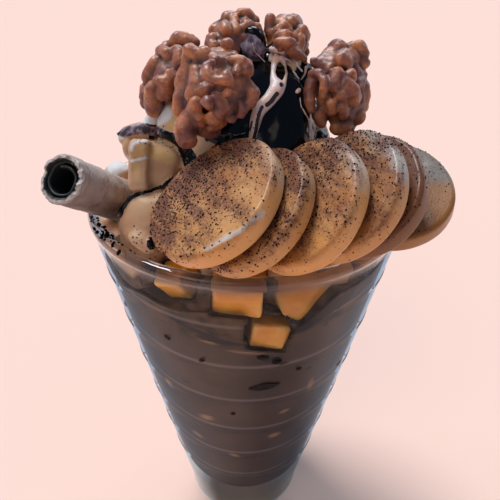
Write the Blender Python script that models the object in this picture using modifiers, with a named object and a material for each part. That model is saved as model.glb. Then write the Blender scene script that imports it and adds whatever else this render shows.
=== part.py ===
"""Chocolate milkshake in a tapered ringed glass, heaped with cream, banana, walnut halves and a rolled wafer.

Metres, +Z up. The origin is the centre of the flat face that the glass stands on. +X is to the right and
-Y to the front, where six banana slices lean over the rim. Places in the tables are millimetres from the
centre of the rim.
"""

import math

import bmesh
import bpy
from mathutils import Matrix, Vector, noise

MM = 0.001

# Glass: a tapered tumbler with six slim rings moulded round it and a thick clear base
RIM_RADIUS = 45 * MM
GLASS_HEIGHT = 130.5 * MM
WALL = 2.6 * MM
LIP_RADIUS = 1.6 * MM
FOOT_RADIUS = 22.3 * MM
FOOT_EDGE = 1.2 * MM
HEEL_HEIGHT = 7.5 * MM
HEEL_RADIUS = 22.9 * MM
BELLY = 0.2 * MM
FLOOR_HEIGHT = 13.5 * MM
FLOOR_CORNER = 7 * MM
RING_COUNT = 6
RING_PITCH = 16.5 * MM
RING_PROUD = 0.5 * MM
RING_HALF_HEIGHT = 1.3 * MM
GLASS_SIDES = 40

# Gaps: to the glass, round a cut piece, and between drink and cream, whose uneven faces are split differently.
# A cut's points closer than SLIVER are merged.
GAP = 0.35 * MM
CUT_GAP = 0.5 * MM
SURFACE_GAP = 0.9 * MM
SLIVER = 0.008 * MM

# Drink: its surface is uneven and a little higher on the right
DRINK_TOP = GLASS_HEIGHT - 13 * MM
DRINK_TILT = 0.07
DRINK_SWELL = 2.2 * MM
DRINK_SWELL_DENSITY = 70
DRINK_RINGS = 4
DRINK_SIDES = 32

# Banana slices: centre of the upper face, bearing and lean of the face in degrees, radius
SLICE_THICKNESS = 5.0
SLICE_EDGE = 1.1 * MM
SLICE_SIDES = 22
SLICE_UNEVEN = 0.02
FAN = [
    ((-7.8, -39.3, 18.2), -152.6, 35.6, 15.4),
    ((-0.7, -38.0, 15.0), -157.3, 41.5, 15.2),
    ((10.1, -37.3, 15.8), -157.2, 48.3, 15.5),
    ((18.5, -34.1, 16.6), -154.3, 46.4, 15.5),
    ((24.3, -29.9, 14.6), -149.6, 42.7, 15.3),
    ((33.8, -22.1, 11.5), -121.5, 26.6, 15.4),
]

# Banana pieces inside the glass: a half-sunk slice, and knife-cut lumps with their half sizes and turns
SLAB = ((16.2, -31.8, -9.6), (0.30, -0.90, 0.30), 10.4, 4.0)
CHUNK_EDGE = 0.9 * MM
CHUNK_UNEVEN = 0.16
CHUNKS = [
    ((-16.8, -30.4, -10.0), (4.2, 3.6, 3.6), (20, -28, -24)),
    ((-1.6, -35.2, -9.6), (6.2, 3.8, 5.4), (14, 4, -3)),
    ((5.8, -32.2, -25.0), (5.0, 3.4, 3.6), (-10, 12, 8)),
    ((28.2, -20.5, -9.0), (4.2, 3.6, 4.2), (10, 10, 38)),
]

# Walnut halves: centre, the way the dome faces, the way the length runs, half sizes
WALNUT_SIDES = 20
WALNUT_RINGS = 12
WALNUT_FOLD = 0.17
WALNUT_GROOVE = 0.16
WALNUT_UNDERSIDE = 0.72
WALNUTS = [
    ((-7.2, -20.8, 33.9), (-0.45, -0.78, 0.42), (0.25, 0.25, 0.93), (10.5, 10.0, 6.2)),
    ((-19.3, -4.9, 33.4), (-0.75, -0.15, 0.60), (0.35, 0.55, 0.60), (11.5, 9.5, 6.0)),
    ((-4.0, -6.5, 41.5), (-0.25, -0.30, 0.92), (0.15, 0.95, 0.20), (8.5, 6.3, 6.2)),
    ((9.0, -4.5, 41.0), (0.35, -0.30, 0.88), (0.10, 0.95, 0.25), (8.5, 6.0, 6.2)),
    ((21.5, -10.5, 32.3), (0.62, -0.62, 0.48), (0.25, 0.05, 0.83), (11.5, 9.0, 6.4)),
]

# Rolled wafer: its two ends
WAFER_OUTER_END = (-41.6, -29.8, 16.9)
WAFER_INNER_END = (-32.0, -5.0, -2.6)
WAFER_RADIUS = 5.7 * MM
WAFER_WALL = 1.3 * MM
WAFER_SIDES = 24

# Cream: a mound, a fluted peak and lumps: centre, half sizes, turn in degrees, sides
# The mound is widest where it rests on the drink. Froth fills the front left of the glass, between the chunks.
MOUND = ((0, 4, -13), (41, 36.5, 26), 0, 18)
LUMPS = {
    "froth_left": ((-27, -23, -8), (9, 9, 7), 0, 10),
    "froth_front": ((-10, -33, -10), (7, 7, 6), 0, 10),
    "froth_middle": ((8, -31, -8), (7, 7, 7), 0, 10),
    "fold_back": ((-27, 1, 11.5), (8.5, 9, 7.5), 20, 12),
    "fold_upper": ((-20.5, -13, 11.5), (9, 9, 8.5), -20, 12),
    "fold_front": ((-24, -28, 3), (6.5, 7.5, 9), -35, 12),
    "fold_low": ((-19.5, -34, -2), (7, 4.5, 6), -30, 12),
    "under_walnuts": ((-13, -9, 21), (9.5, 9, 10), 10, 12),
    "behind_fan": ((14, -22, 4), (22, 14, 11), 12, 14),
    "sauce_pool": ((6, -17, 15.5), (22, 9, 3.6), 4, 14),
}
PEAK_FOOT = (1, -6, -6)
PEAK_TIP = (2.5, -8, 38)
PEAK_FOOT_RADIUS = 23
PEAK_TIP_RADIUS = 6.5
PEAK_ROUNDING = 2.2
PEAK_FLUTES = 5
PEAK_FLUTE_DEPTH = 0.09
PEAK_TWIST = 2.2
PEAK_SIDES = 20
PEAK_LEVELS = 6
CURL = [(6.0, -15, 39), (8.0, -18.5, 35), (5.2, -21.5, 29.5), (2.6, -24, 24), (2.0, -25, 19)]
CURL_RADIUS = 2.2 * MM

RIM_CENTRE = Vector((0, 0, GLASS_HEIGHT))


def rim_point(millimetres):
    """A place given in millimetres from the rim's centre."""
    return RIM_CENTRE + Vector(millimetres) * MM


def clear_scene():
    for old in list(bpy.data.objects):
        bpy.data.objects.remove(old, do_unlink=True)


def new_collection(name):
    made = bpy.data.collections.new(name)
    bpy.context.scene.collection.children.link(made)
    return made


def material(name, color, roughness, transmission=0.0):
    made = bpy.data.materials.new(name)
    made.use_nodes = True
    shader = made.node_tree.nodes["Principled BSDF"]
    shader.inputs["Base Color"].default_value = (*color, 1)
    shader.inputs["Roughness"].default_value = roughness
    shader.inputs["Metallic"].default_value = 0
    shader.inputs["Transmission Weight"].default_value = transmission
    return made


def add_object(name, mesh, collection, finish=None):
    made = bpy.data.objects.new(name, mesh)
    collection.objects.link(made)
    if finish:
        mesh.materials.append(finish)
    return made


def add_piece(name, make_mesh, place, collection, cutters, finish):
    """One food piece, and the slightly larger copy that cuts its bed. make_mesh takes a name and a growth."""
    piece = add_object(name, make_mesh(name, 0), collection, finish)
    piece.data.shade_smooth()
    piece.matrix_world = place
    add_object(f"bed_{name}", make_mesh(f"bed_{name}", CUT_GAP), cutters).matrix_world = place


def mesh_from(shape, name):
    """Turns a bmesh into a mesh of triangles, which cut more cleanly than bent four-sided faces."""
    bmesh.ops.triangulate(shape, faces=shape.faces)
    mesh = bpy.data.meshes.new(name)
    shape.to_mesh(mesh)
    shape.free()
    return mesh


def bake(item):
    """Applies an object's modifiers and leaves it with one plain mesh."""
    depsgraph = bpy.context.evaluated_depsgraph_get()
    mesh = bpy.data.meshes.new_from_object(item.evaluated_get(depsgraph))
    item.modifiers.clear()
    item.data = mesh
    return item


def weld(item):
    """Joins points that coincide, such as the two ends of a closed profile."""
    shape = bmesh.new()
    shape.from_mesh(item.data)
    bmesh.ops.remove_doubles(shape, verts=shape.verts, dist=SLIVER)
    shape.to_mesh(item.data)
    shape.free()
    return item


def turned(name, profile, sides, collection, finish=None):
    """A profile of (radius, height) points turned about the Z axis, as a plain mesh."""
    mesh = bpy.data.meshes.new(name)
    points = [(radius, 0, height) for radius, height in profile]
    mesh.from_pydata(points, [(i, i + 1) for i in range(len(points) - 1)], [])
    made = add_object(name, mesh, collection, finish)
    screw = made.modifiers.new("turn", "SCREW")
    screw.steps = screw.render_steps = sides
    screw.use_merge_vertices = True
    screw.merge_threshold = 0.00001
    return bake(made)


def facing(direction, along):
    """A rotation whose local Z is direction and whose local X is as near along as it can be."""
    up = Vector(direction).normalized()
    side = Vector(along)
    side = (side - up * side.dot(up)).normalized()
    return Matrix((side, up.cross(side), up)).transposed().to_4x4()


def level_side(direction):
    """The level direction at right angles to direction."""
    return Vector((0, 0, 1)).cross(Vector(direction))


def arc(centre, radius, start, end, steps):
    """Points on an arc in the profile plane, angles in degrees from +X."""
    points = []
    for step in range(steps + 1):
        angle = math.radians(start + (end - start) * step / steps)
        points.append((centre[0] + radius * math.cos(angle), centre[1] + radius * math.sin(angle)))
    return points


def outer_radius(height):
    """The glass outside, without its rings: a short foot, then a flaring wall with a slight belly."""
    if height < HEEL_HEIGHT:
        return FOOT_RADIUS + (HEEL_RADIUS - FOOT_RADIUS) * height / HEEL_HEIGHT
    rise = min((height - HEEL_HEIGHT) / (GLASS_HEIGHT - HEEL_HEIGHT), 1)
    return HEEL_RADIUS + (RIM_RADIUS - HEEL_RADIUS) * rise + BELLY * 4 * rise * (1 - rise)


def inner_radius(height):
    """The glass inside: the wall, rounding into the floor."""
    wall = outer_radius(height) - WALL
    above_floor = height - FLOOR_HEIGHT
    if above_floor >= FLOOR_CORNER:
        return wall
    sunk = 1 - max(above_floor, 0) / FLOOR_CORNER
    return wall - FLOOR_CORNER * (1 - math.sqrt(1 - sunk * sunk))


def floor_corner(clearance, steps=5):
    """The rounded inside corner, from the floor up to the wall."""
    points = []
    for step in range(steps + 1):
        angle = math.radians(90 * step / steps)
        height = FLOOR_HEIGHT + FLOOR_CORNER * (1 - math.cos(angle))
        points.append((inner_radius(height) - clearance, height + clearance))
    return points


def wall_levels(low, high, steps):
    """Heights that split a stretch of wall evenly, without its two ends."""
    return [low + (high - low) * step / steps for step in range(1, steps)]


def build_glass(collection):
    lip_height = GLASS_HEIGHT - LIP_RADIUS
    profile = [(0, FLOOR_HEIGHT)] + floor_corner(0)
    for height in wall_levels(FLOOR_HEIGHT + FLOOR_CORNER, lip_height - LIP_RADIUS, 2):
        profile.append((inner_radius(height), height))
    profile += arc((RIM_RADIUS - LIP_RADIUS, lip_height), LIP_RADIUS, 200, -50, 6)
    for ring in range(1, RING_COUNT + 1):
        middle = GLASS_HEIGHT - ring * RING_PITCH
        for offset, proud in ((RING_HALF_HEIGHT, 0), (0, RING_PROUD), (-RING_HALF_HEIGHT, 0)):
            profile.append((outer_radius(middle + offset) + proud, middle + offset))
    profile.append((HEEL_RADIUS, HEEL_HEIGHT))
    profile += arc((FOOT_RADIUS - FOOT_EDGE, FOOT_EDGE), FOOT_EDGE, 0, -90, 3)
    profile.append((0, 0))
    finish = material("clear_glass", (0.86, 0.93, 0.97), 0.03, 1.0)
    turned("glass", profile, GLASS_SIDES, collection, finish).data.shade_smooth()


def drink_level(x, y):
    """Height of the drink's uneven surface."""
    swell = noise.noise(Vector((x, y, 0)) * DRINK_SWELL_DENSITY)
    return DRINK_TOP + DRINK_TILT * x + DRINK_SWELL * swell


def surface_radii():
    """Radii of the rings of points that carry the drink's surface, from the wall to the centre."""
    reach = inner_radius(DRINK_TOP) - GAP
    return [reach * ring / DRINK_RINGS for ring in range(DRINK_RINGS, -1, -1)]


def follow_drink_level(item, lift):
    """Moves the turned points at the drink's top onto its uneven surface, raised by lift."""
    full = inner_radius(DRINK_TOP) - GAP
    for vertex in item.data.vertices:
        if abs(vertex.co.z - DRINK_TOP) > SLIVER:
            continue
        height = drink_level(vertex.co.x, vertex.co.y)
        widen = (inner_radius(height) - GAP) / full
        vertex.co = (vertex.co.x * widen, vertex.co.y * widen, height + lift)


def build_drink(collection):
    """The drink, up to its uneven surface; the toppings' beds are cut from it later."""
    clear_of_surface = DRINK_TOP - 3 * DRINK_SWELL
    profile = [(radius, DRINK_TOP) for radius in reversed(surface_radii())]
    for height in reversed(wall_levels(FLOOR_HEIGHT + FLOOR_CORNER, clear_of_surface, 3)):
        profile.append((inner_radius(height) - GAP, height))
    profile += list(reversed(floor_corner(GAP))) + [(0, FLOOR_HEIGHT + GAP)]
    finish = material("milkshake", (0.085, 0.052, 0.050), 0.45)
    drink = turned("shake", profile, DRINK_SIDES, collection, finish)
    follow_drink_level(drink, 0)
    return drink


def build_cream_room(collection):
    """The space that cream may fill: over the drink, inside the glass and straight up from its mouth."""
    neck = GLASS_HEIGHT - 2 * LIP_RADIUS
    mouth = inner_radius(neck) - GAP
    top = rim_point(PEAK_TIP).z + 2 * CURL_RADIUS
    profile = [(0, top), (mouth, top), (mouth, neck)]
    profile += [(radius, DRINK_TOP) for radius in surface_radii()]
    room = turned("cream_room", profile, DRINK_SIDES, collection)
    follow_drink_level(room, SURFACE_GAP)
    return room


def lump(name, centre, half_sizes, turn, sides, collection):
    """A rounded lump of cream: an ellipsoid, turned about Z, with its place in its mesh."""
    shape = bmesh.new()
    bmesh.ops.create_uvsphere(shape, u_segments=sides, v_segments=sides // 2, radius=MM)
    place = Matrix.Translation(rim_point(centre)) @ Matrix.Rotation(math.radians(turn), 4, "Z")
    shape.transform(place @ Matrix.Diagonal((*half_sizes, 1)))
    return add_object(name, mesh_from(shape, name), collection)


def cream_peak(collection):
    """The tall middle of the cream: a blunt cone with twisted flutes, lofted level by level."""
    shape = bmesh.new()
    loops = []
    for level in range(PEAK_LEVELS + 1):
        rise = level / PEAK_LEVELS
        centre = rim_point(PEAK_FOOT).lerp(rim_point(PEAK_TIP), rise)
        narrowing = 1 - rise ** PEAK_ROUNDING
        radius = (PEAK_TIP_RADIUS + (PEAK_FOOT_RADIUS - PEAK_TIP_RADIUS) * narrowing) * MM
        loop = []
        for side in range(PEAK_SIDES):
            angle = 2 * math.pi * side / PEAK_SIDES
            swell = 1 + PEAK_FLUTE_DEPTH * math.cos(PEAK_FLUTES * (angle - PEAK_TWIST * rise))
            outward = Vector((math.cos(angle), math.sin(angle), 0))
            loop.append(shape.verts.new(centre + outward * radius * swell))
        loops.append(loop)
    for lower, upper in zip(loops, loops[1:]):
        for side in range(PEAK_SIDES):
            after = (side + 1) % PEAK_SIDES
            shape.faces.new((lower[side], lower[after], upper[after], upper[side]))
    shape.faces.new(list(reversed(loops[0])))
    shape.faces.new(loops[-1])
    add_object("peak", mesh_from(shape, "peak"), collection)


def cream_curl(collection):
    """The strand of cream that runs down the front of the peak, with its caps welded on."""
    curve = bpy.data.curves.new("curl", "CURVE")
    curve.dimensions = "3D"
    curve.bevel_depth = CURL_RADIUS
    curve.bevel_resolution = 2
    curve.resolution_u = 3
    curve.use_fill_caps = True
    spline = curve.splines.new("NURBS")
    spline.points.add(len(CURL) - 1)
    for target, point in zip(spline.points, CURL):
        target.co = (*rim_point(point), 1)
    spline.order_u = 3
    spline.use_endpoint_u = True
    strand = bpy.data.objects.new("curl_path", curve)
    collection.objects.link(strand)
    depsgraph = bpy.context.evaluated_depsgraph_get()
    shape = bmesh.new()
    shape.from_mesh(bpy.data.meshes.new_from_object(strand.evaluated_get(depsgraph)))
    bpy.data.objects.remove(strand)
    bmesh.ops.remove_doubles(shape, verts=shape.verts, dist=SLIVER)
    bmesh.ops.recalc_face_normals(shape, faces=shape.faces)
    add_object("curl", mesh_from(shape, "curl"), collection)


def boolean(item, operation, operand):
    """Joins or cuts at once. The solver is MANIFOLD, because EXACT leaves this cream open."""
    step = item.modifiers.new(operation.lower(), "BOOLEAN")
    step.operation = operation
    step.solver = "MANIFOLD"
    if isinstance(operand, bpy.types.Collection):
        step.operand_type = "COLLECTION"
        step.collection = operand
    else:
        step.object = operand
    bake(item)


def remove_fins(shape):
    """Removes pairs of triangles that lie back to back on the same three points."""
    by_corners = {}
    fins = set()
    for face in shape.faces:
        corners = frozenset(face.verts)
        if corners in by_corners:
            fins |= {face, by_corners[corners]}
        by_corners[corners] = face
    bmesh.ops.delete(shape, geom=list(fins), context="FACES")


def keep_largest_body(item):
    """Merges the slivers that a cut leaves, makes triangles and drops loose scraps."""
    shape = bmesh.new()
    shape.from_mesh(item.data)
    bmesh.ops.remove_doubles(shape, verts=shape.verts, dist=SLIVER)
    bmesh.ops.dissolve_degenerate(shape, edges=shape.edges, dist=SLIVER)
    bmesh.ops.triangulate(shape, faces=shape.faces, ngon_method="EAR_CLIP")
    remove_fins(shape)
    unseen = set(shape.verts)
    bodies = []
    while unseen:
        body = {unseen.pop()}
        front = set(body)
        while front:
            near = {link.other_vert(vertex) for vertex in front for link in vertex.link_edges}
            front = near - body
            body |= front
        unseen -= body
        bodies.append(body)
    largest = max(bodies, key=len)
    scraps = [vertex for vertex in shape.verts if vertex not in largest]
    bmesh.ops.delete(shape, geom=scraps, context="VERTS")
    shape.to_mesh(item.data)
    shape.free()


def build_cream(collection, room, cutters):
    """Whipped cream with the thick sauce that lies on it, cut round every piece that sits in it."""
    lumps = new_collection("lumps")
    cream = lump("cream", *MOUND, collection)
    cream.data.materials.append(material("whipped_cream", (0.55, 0.42, 0.31), 0.4))
    for name, measures in LUMPS.items():
        lump(name, *measures, lumps)
    cream_peak(lumps)
    cream_curl(lumps)
    boolean(cream, "UNION", lumps)
    for item in list(lumps.objects):
        bpy.data.objects.remove(item, do_unlink=True)
    bpy.data.collections.remove(lumps)
    boolean(cream, "INTERSECT", room)
    boolean(cream, "DIFFERENCE", cutters)
    keep_largest_body(cream)


def slice_mesh(name, radius, thickness, growth):
    """One banana slice lying flat with its upper face at the origin: a slightly three-sided round."""
    shape = bmesh.new()
    bmesh.ops.create_cone(
        shape,
        cap_ends=True,
        segments=SLICE_SIDES,
        radius1=radius * MM + growth,
        radius2=radius * MM + growth,
        depth=thickness * MM + 2 * growth,
    )
    for vertex in shape.verts:
        angle = math.atan2(vertex.co.y, vertex.co.x)
        uneven = 1 + SLICE_UNEVEN * math.cos(3 * angle + 0.6)
        vertex.co = (vertex.co.x * uneven, vertex.co.y * uneven, vertex.co.z - thickness * MM / 2)
    rims = [edge for edge in shape.edges if abs(edge.verts[0].co.z - edge.verts[1].co.z) < SLIVER]
    bmesh.ops.bevel(shape, geom=rims, offset=SLICE_EDGE, segments=2, profile=0.5, affect="EDGES")
    return mesh_from(shape, name)


def build_fan(collection, cutters):
    """Six slices that lean on each other like shingles, from the front to the right."""
    flesh = material("banana", (0.62, 0.42, 0.22), 0.4)
    for number, (centre, bearing, lean, radius) in enumerate(FAN, start=1):
        bearing, lean = math.radians(bearing), math.radians(lean)
        level = Vector((math.cos(bearing), math.sin(bearing), 0)) * math.sin(lean)
        face = level + Vector((0, 0, math.cos(lean)))
        place = Matrix.Translation(rim_point(centre)) @ facing(face, level_side(face))

        def make_mesh(name, growth, radius=radius):
            return slice_mesh(name, radius, SLICE_THICKNESS, growth)

        add_piece(f"banana_{number}", make_mesh, place, collection, cutters, flesh)


def chunk_mesh(name, half_sizes, seed, growth):
    """A knife-cut lump of banana: a box with uneven corners and soft edges."""
    shape = bmesh.new()
    bmesh.ops.create_cube(shape, size=2)
    for vertex in shape.verts:
        corner = vertex.co.copy()
        sizes = Vector()
        for i in range(3):
            pull = noise.noise(corner * 2.3 + Vector((seed * 7.1, i * 5.3, 0))) * CHUNK_UNEVEN
            sizes[i] = (corner[i] + pull) * half_sizes[i] * MM
        vertex.co = sizes + corner * growth
    bmesh.ops.bevel(shape, geom=list(shape.edges), offset=CHUNK_EDGE, segments=2, profile=0.5, affect="EDGES")
    return mesh_from(shape, name)


def build_banana_in_glass(collection, cutters):
    """The lumps and the slice that show through the glass, half sunk in the drink."""
    flesh = material("banana_in_drink", (0.50, 0.25, 0.10), 0.4)
    for number, (centre, half_sizes, turns) in enumerate(CHUNKS, start=1):
        place = Matrix.Translation(rim_point(centre))
        for axis, turn in zip("XYZ", turns):
            place = place @ Matrix.Rotation(math.radians(turn), 4, axis)

        def make_mesh(name, growth, half_sizes=half_sizes, seed=number):
            return chunk_mesh(name, half_sizes, seed, growth)

        add_piece(f"chunk_{number}", make_mesh, place, collection, cutters, flesh)

    centre, face, radius, thickness = SLAB
    place = Matrix.Translation(rim_point(centre)) @ facing(face, level_side(face))
    add_piece("slab", lambda name, growth: slice_mesh(name, radius, thickness, growth),
              place, collection, cutters, flesh)


def walnut_mesh(name, half_sizes, seed, growth):
    """A walnut half: a dome with a groove along its length and rounded folds, flatter below."""
    shape = bmesh.new()
    bmesh.ops.create_uvsphere(shape, u_segments=WALNUT_SIDES, v_segments=WALNUT_RINGS, radius=1)
    length, width, height = [size * MM for size in half_sizes]
    shift = Vector((3.7, 1.9, 5.3)) * seed
    for vertex in shape.verts:
        way = vertex.co.normalized()
        wave = noise.noise(way * 1.9 + shift) + 0.45 * noise.noise(way * 4.1 + shift)
        fold = 0.45 - 2 * abs(wave)
        groove = math.exp(-(way.y / 0.16) ** 2) * max(way.z, 0)
        swell = 1 + WALNUT_FOLD * fold - WALNUT_GROOVE * groove
        depth = height * (WALNUT_UNDERSIDE if way.z < 0 else 1)
        vertex.co = Vector((way.x * length, way.y * width, way.z * depth)) * swell + way * growth
    return mesh_from(shape, name)


def build_walnuts(collection, cutters):
    """Five walnut halves pressed into the top of the cream."""
    kernel = material("walnut", (0.25, 0.12, 0.08), 0.5)
    for number, (centre, dome, along, half_sizes) in enumerate(WALNUTS, start=1):
        place = Matrix.Translation(rim_point(centre)) @ facing(dome, along)

        def make_mesh(name, growth, half_sizes=half_sizes, seed=number):
            return walnut_mesh(name, half_sizes, seed, growth)

        add_piece(f"walnut_{number}", make_mesh, place, collection, cutters, kernel)


def build_wafer(collection, cutters):
    """A rolled wafer: a hollow tube whose inner end is pushed into the cream."""
    outer_end, inner_end = rim_point(WAFER_OUTER_END), rim_point(WAFER_INNER_END)
    length = (outer_end - inner_end).length
    place = Matrix.Translation(inner_end) @ facing(outer_end - inner_end, (1, 0, 0))
    bore = WAFER_RADIUS - WAFER_WALL
    edge = WAFER_WALL / 4
    mouth = [(bore, length - edge), (bore + edge, length), (WAFER_RADIUS - edge, length)]
    profile = [(bore, 0), *mouth, (WAFER_RADIUS, length - edge), (WAFER_RADIUS, 0), (bore, 0)]
    finish = material("wafer", (0.16, 0.10, 0.07), 0.7)
    wafer = weld(turned("wafer", profile, WAFER_SIDES, collection, finish))
    wafer.data.shade_smooth()
    wafer.matrix_world = place
    reach = WAFER_RADIUS + CUT_GAP
    plug = [(0, length + CUT_GAP), (reach, length + CUT_GAP), (reach, -CUT_GAP), (0, -CUT_GAP)]
    turned("bed_wafer", plug, WAFER_SIDES, cutters).matrix_world = place


clear_scene()
milkshake = new_collection("milkshake")
beds = new_collection("cutters")
build_glass(milkshake)
build_fan(milkshake, beds)
build_banana_in_glass(milkshake, beds)
build_walnuts(milkshake, beds)
build_wafer(milkshake, beds)
build_cream(milkshake, build_cream_room(new_collection("guides")), beds)
shake = build_drink(milkshake)
boolean(shake, "DIFFERENCE", beds)
keep_largest_body(shake)
for hidden in [*beds.objects, bpy.data.objects["cream_room"]]:
    hidden.hide_render = True
    hidden.display_type = "WIRE"
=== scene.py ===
"""Looks of a chocolate milkshake: ringed glass, drink, cream, sauce, banana slices, walnuts and a wafer.

Metres, +Z up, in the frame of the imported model. Places in the tables are millimetres from the rim's centre,
with +X to the right and -Y to the front.
"""
import math

import bmesh
import bpy
import numpy as np
from mathutils import Matrix, Vector, noise
from mathutils.bvhtree import BVHTree


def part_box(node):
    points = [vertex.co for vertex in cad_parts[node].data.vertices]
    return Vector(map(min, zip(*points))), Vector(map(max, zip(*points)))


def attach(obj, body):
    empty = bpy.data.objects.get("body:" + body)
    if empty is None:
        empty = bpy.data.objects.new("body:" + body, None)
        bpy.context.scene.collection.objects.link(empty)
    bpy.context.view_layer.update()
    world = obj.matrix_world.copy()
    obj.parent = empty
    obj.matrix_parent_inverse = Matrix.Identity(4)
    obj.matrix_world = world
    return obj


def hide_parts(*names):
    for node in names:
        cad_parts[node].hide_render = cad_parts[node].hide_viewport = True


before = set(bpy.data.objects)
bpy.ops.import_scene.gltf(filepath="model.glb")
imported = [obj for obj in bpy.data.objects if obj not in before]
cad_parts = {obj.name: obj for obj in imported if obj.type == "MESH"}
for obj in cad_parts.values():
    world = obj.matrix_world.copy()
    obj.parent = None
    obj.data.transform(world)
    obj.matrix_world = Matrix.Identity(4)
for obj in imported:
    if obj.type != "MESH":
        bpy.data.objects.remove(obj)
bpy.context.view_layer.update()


# ---- The studio ----
# A pale pink table top and soft daylight: cool windows behind the glass and at both sides, and a weak warm fill
# from the front. The camera looks down over the rim from the front.
MM = 0.001
RIM = Vector((0, 0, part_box("glass")[1].z))
EYE = RIM + Vector((0, -128.6, 62.5)) * MM
EYE_YAW, EYE_PITCH, EYE_ROLL = 0.00908, 0.57444, 0.01598
LENS = 35.05
SENSOR = 36
TABLE_SIZE = 5.0
TABLE_COLOUR = (0.955, 0.668, 0.556, 1)


def camera_turn(yaw, pitch, roll):
    """The camera's rotation from its heading, its tilt below the horizon and its roll."""
    ahead = Vector((math.sin(yaw) * math.cos(pitch), math.cos(yaw) * math.cos(pitch), -math.sin(pitch)))
    level = ahead.cross(Vector((0, 0, 1))).normalized()
    over = level.cross(ahead)
    right = math.cos(roll) * level + math.sin(roll) * over
    up = math.cos(roll) * over - math.sin(roll) * level
    return Matrix((right, up, -ahead)).transposed().to_4x4()


def add_camera():
    data = bpy.data.cameras.new("eye")
    data.lens = LENS
    data.sensor_width = SENSOR
    data.clip_start = 10 * MM
    camera = bpy.data.objects.new("eye", data)
    camera.matrix_world = Matrix.Translation(EYE) @ camera_turn(EYE_YAW, EYE_PITCH, EYE_ROLL)
    bpy.context.collection.objects.link(camera)
    bpy.context.scene.camera = camera


def add_sun(name, towards, strength, spread, colour):
    """A distant soft light that shines towards a direction and is spread degrees wide in the sky."""
    data = bpy.data.lights.new(name, "SUN")
    data.energy = strength
    data.angle = math.radians(spread)
    data.color = colour
    light = bpy.data.objects.new(name, data)
    light.matrix_world = Vector(towards).to_track_quat("-Z", "Y").to_matrix().to_4x4()
    bpy.context.collection.objects.link(light)


def add_table():
    shape = bmesh.new()
    bmesh.ops.create_grid(shape, x_segments=1, y_segments=1, size=TABLE_SIZE)
    mesh = bpy.data.meshes.new("table_top")
    shape.to_mesh(mesh)
    shape.free()
    finish = bpy.data.materials.new("table_paint")
    finish.use_nodes = True
    shader = finish.node_tree.nodes["Principled BSDF"]
    shader.inputs["Base Color"].default_value = TABLE_COLOUR
    shader.inputs["Roughness"].default_value = 0.9
    shader.inputs["Specular IOR Level"].default_value = 0.1
    mesh.materials.append(finish)
    table = bpy.data.objects.new("table_top", mesh)
    bpy.context.collection.objects.link(table)


def set_world(colour, strength):
    world = bpy.data.worlds.new("room")
    world.use_nodes = True
    background = world.node_tree.nodes["Background"]
    background.inputs["Color"].default_value = (*colour, 1)
    background.inputs["Strength"].default_value = strength
    bpy.context.scene.world = world


add_camera()
add_table()
set_world((0.42, 0.64, 1.0), 0.28)
add_sun("daylight", (0.30, -0.34, -0.88), 2.45, 24, (0.98, 0.98, 1.0))
add_sun("front_light", (0.40, 0.62, -0.68), 0.50, 40, (1.0, 0.84, 0.70))
add_sun("window_behind", (-0.12, -0.80, -0.58), 0.60, 20, (0.78, 0.90, 1.0))
add_sun("window_left", (0.86, -0.20, -0.46), 0.25, 16, (0.78, 0.90, 1.0))
add_sun("window_right", (-0.70, -0.61, -0.36), 0.30, 24, (0.72, 0.87, 1.0))
bpy.context.scene.view_settings.view_transform = "Standard"
bpy.context.scene.cycles.use_denoising = True
bpy.context.scene.cycles.transparent_max_bounces = 16


# ---- The glass ----
# A moulded tumbler, clear and faintly blue: a flaring wall with six slim rings round it, a rounded lip and a
# thick base. It is pressed in one piece, so the rings are part of the wall.
WALL = 2.6 * MM
LIP_RADIUS = 1.6 * MM
RIM_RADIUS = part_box("glass")[1].x
FOOT_RADIUS = 22.3 * MM
FOOT_EDGE = 1.2 * MM
HEEL_HEIGHT = 7.5 * MM
HEEL_RADIUS = 22.9 * MM
BELLY = 0.2 * MM
FLOOR_HEIGHT = 13.5 * MM
FLOOR_CORNER = 7 * MM
RING_COUNT = 6
RING_PITCH = 16.5 * MM
RING_PROUD = 0.26 * MM
RING_HALF_HEIGHT = 1.3 * MM
GLASS_SIDES = 144
WALL_BEND, RIM_BEND = 1.02, 1.20
BEAD_HEIGHT = 3.4 * MM


def new_finish(name, **settings):
    """A material with a Principled shader; settings are its sockets' names with _ for a space."""
    made = bpy.data.materials.new(name)
    made.use_nodes = True
    shader = made.node_tree.nodes["Principled BSDF"]
    for socket in shader.inputs:
        value = settings.get(socket.name.replace(" ", "_"))
        if value is not None:
            socket.default_value = value
    return made, made.node_tree, shader


def add_node(tree, kind, settings=None, inputs=None):
    """A shader or geometry node; an input is given a value, or a socket to link from."""
    made = tree.nodes.new(kind)
    for name, value in (settings or {}).items():
        setattr(made, name, value)
    for name, value in (inputs or {}).items():
        if isinstance(value, bpy.types.NodeSocket):
            tree.links.new(value, made.inputs[name])
        else:
            made.inputs[name].default_value = value
    return made


def blend_colour(tree, factor, low, high, blend="MIX"):
    """Mixes two colours by factor; each may be a value or a socket."""
    settings = {"data_type": "RGBA", "blend_type": blend}
    return add_node(tree, "ShaderNodeMix", settings, {0: factor, 6: low, 7: high}).outputs[2]


def stretch(tree, value, low, high, to_low=0.0, to_high=1.0):
    """Maps a value from low..high to to_low..to_high, and holds it there outside."""
    inputs = {0: value, 1: low, 2: high, 3: to_low, 4: to_high}
    return add_node(tree, "ShaderNodeMapRange", None, inputs).outputs[0]


def combine(tree, operation, first, second):
    return add_node(tree, "ShaderNodeMath", {"operation": operation}, {0: first, 1: second}).outputs[0]


def read_attribute(tree, name):
    """A number painted on the mesh's points."""
    return add_node(tree, "ShaderNodeAttribute", {"attribute_name": name}).outputs["Fac"]


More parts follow.
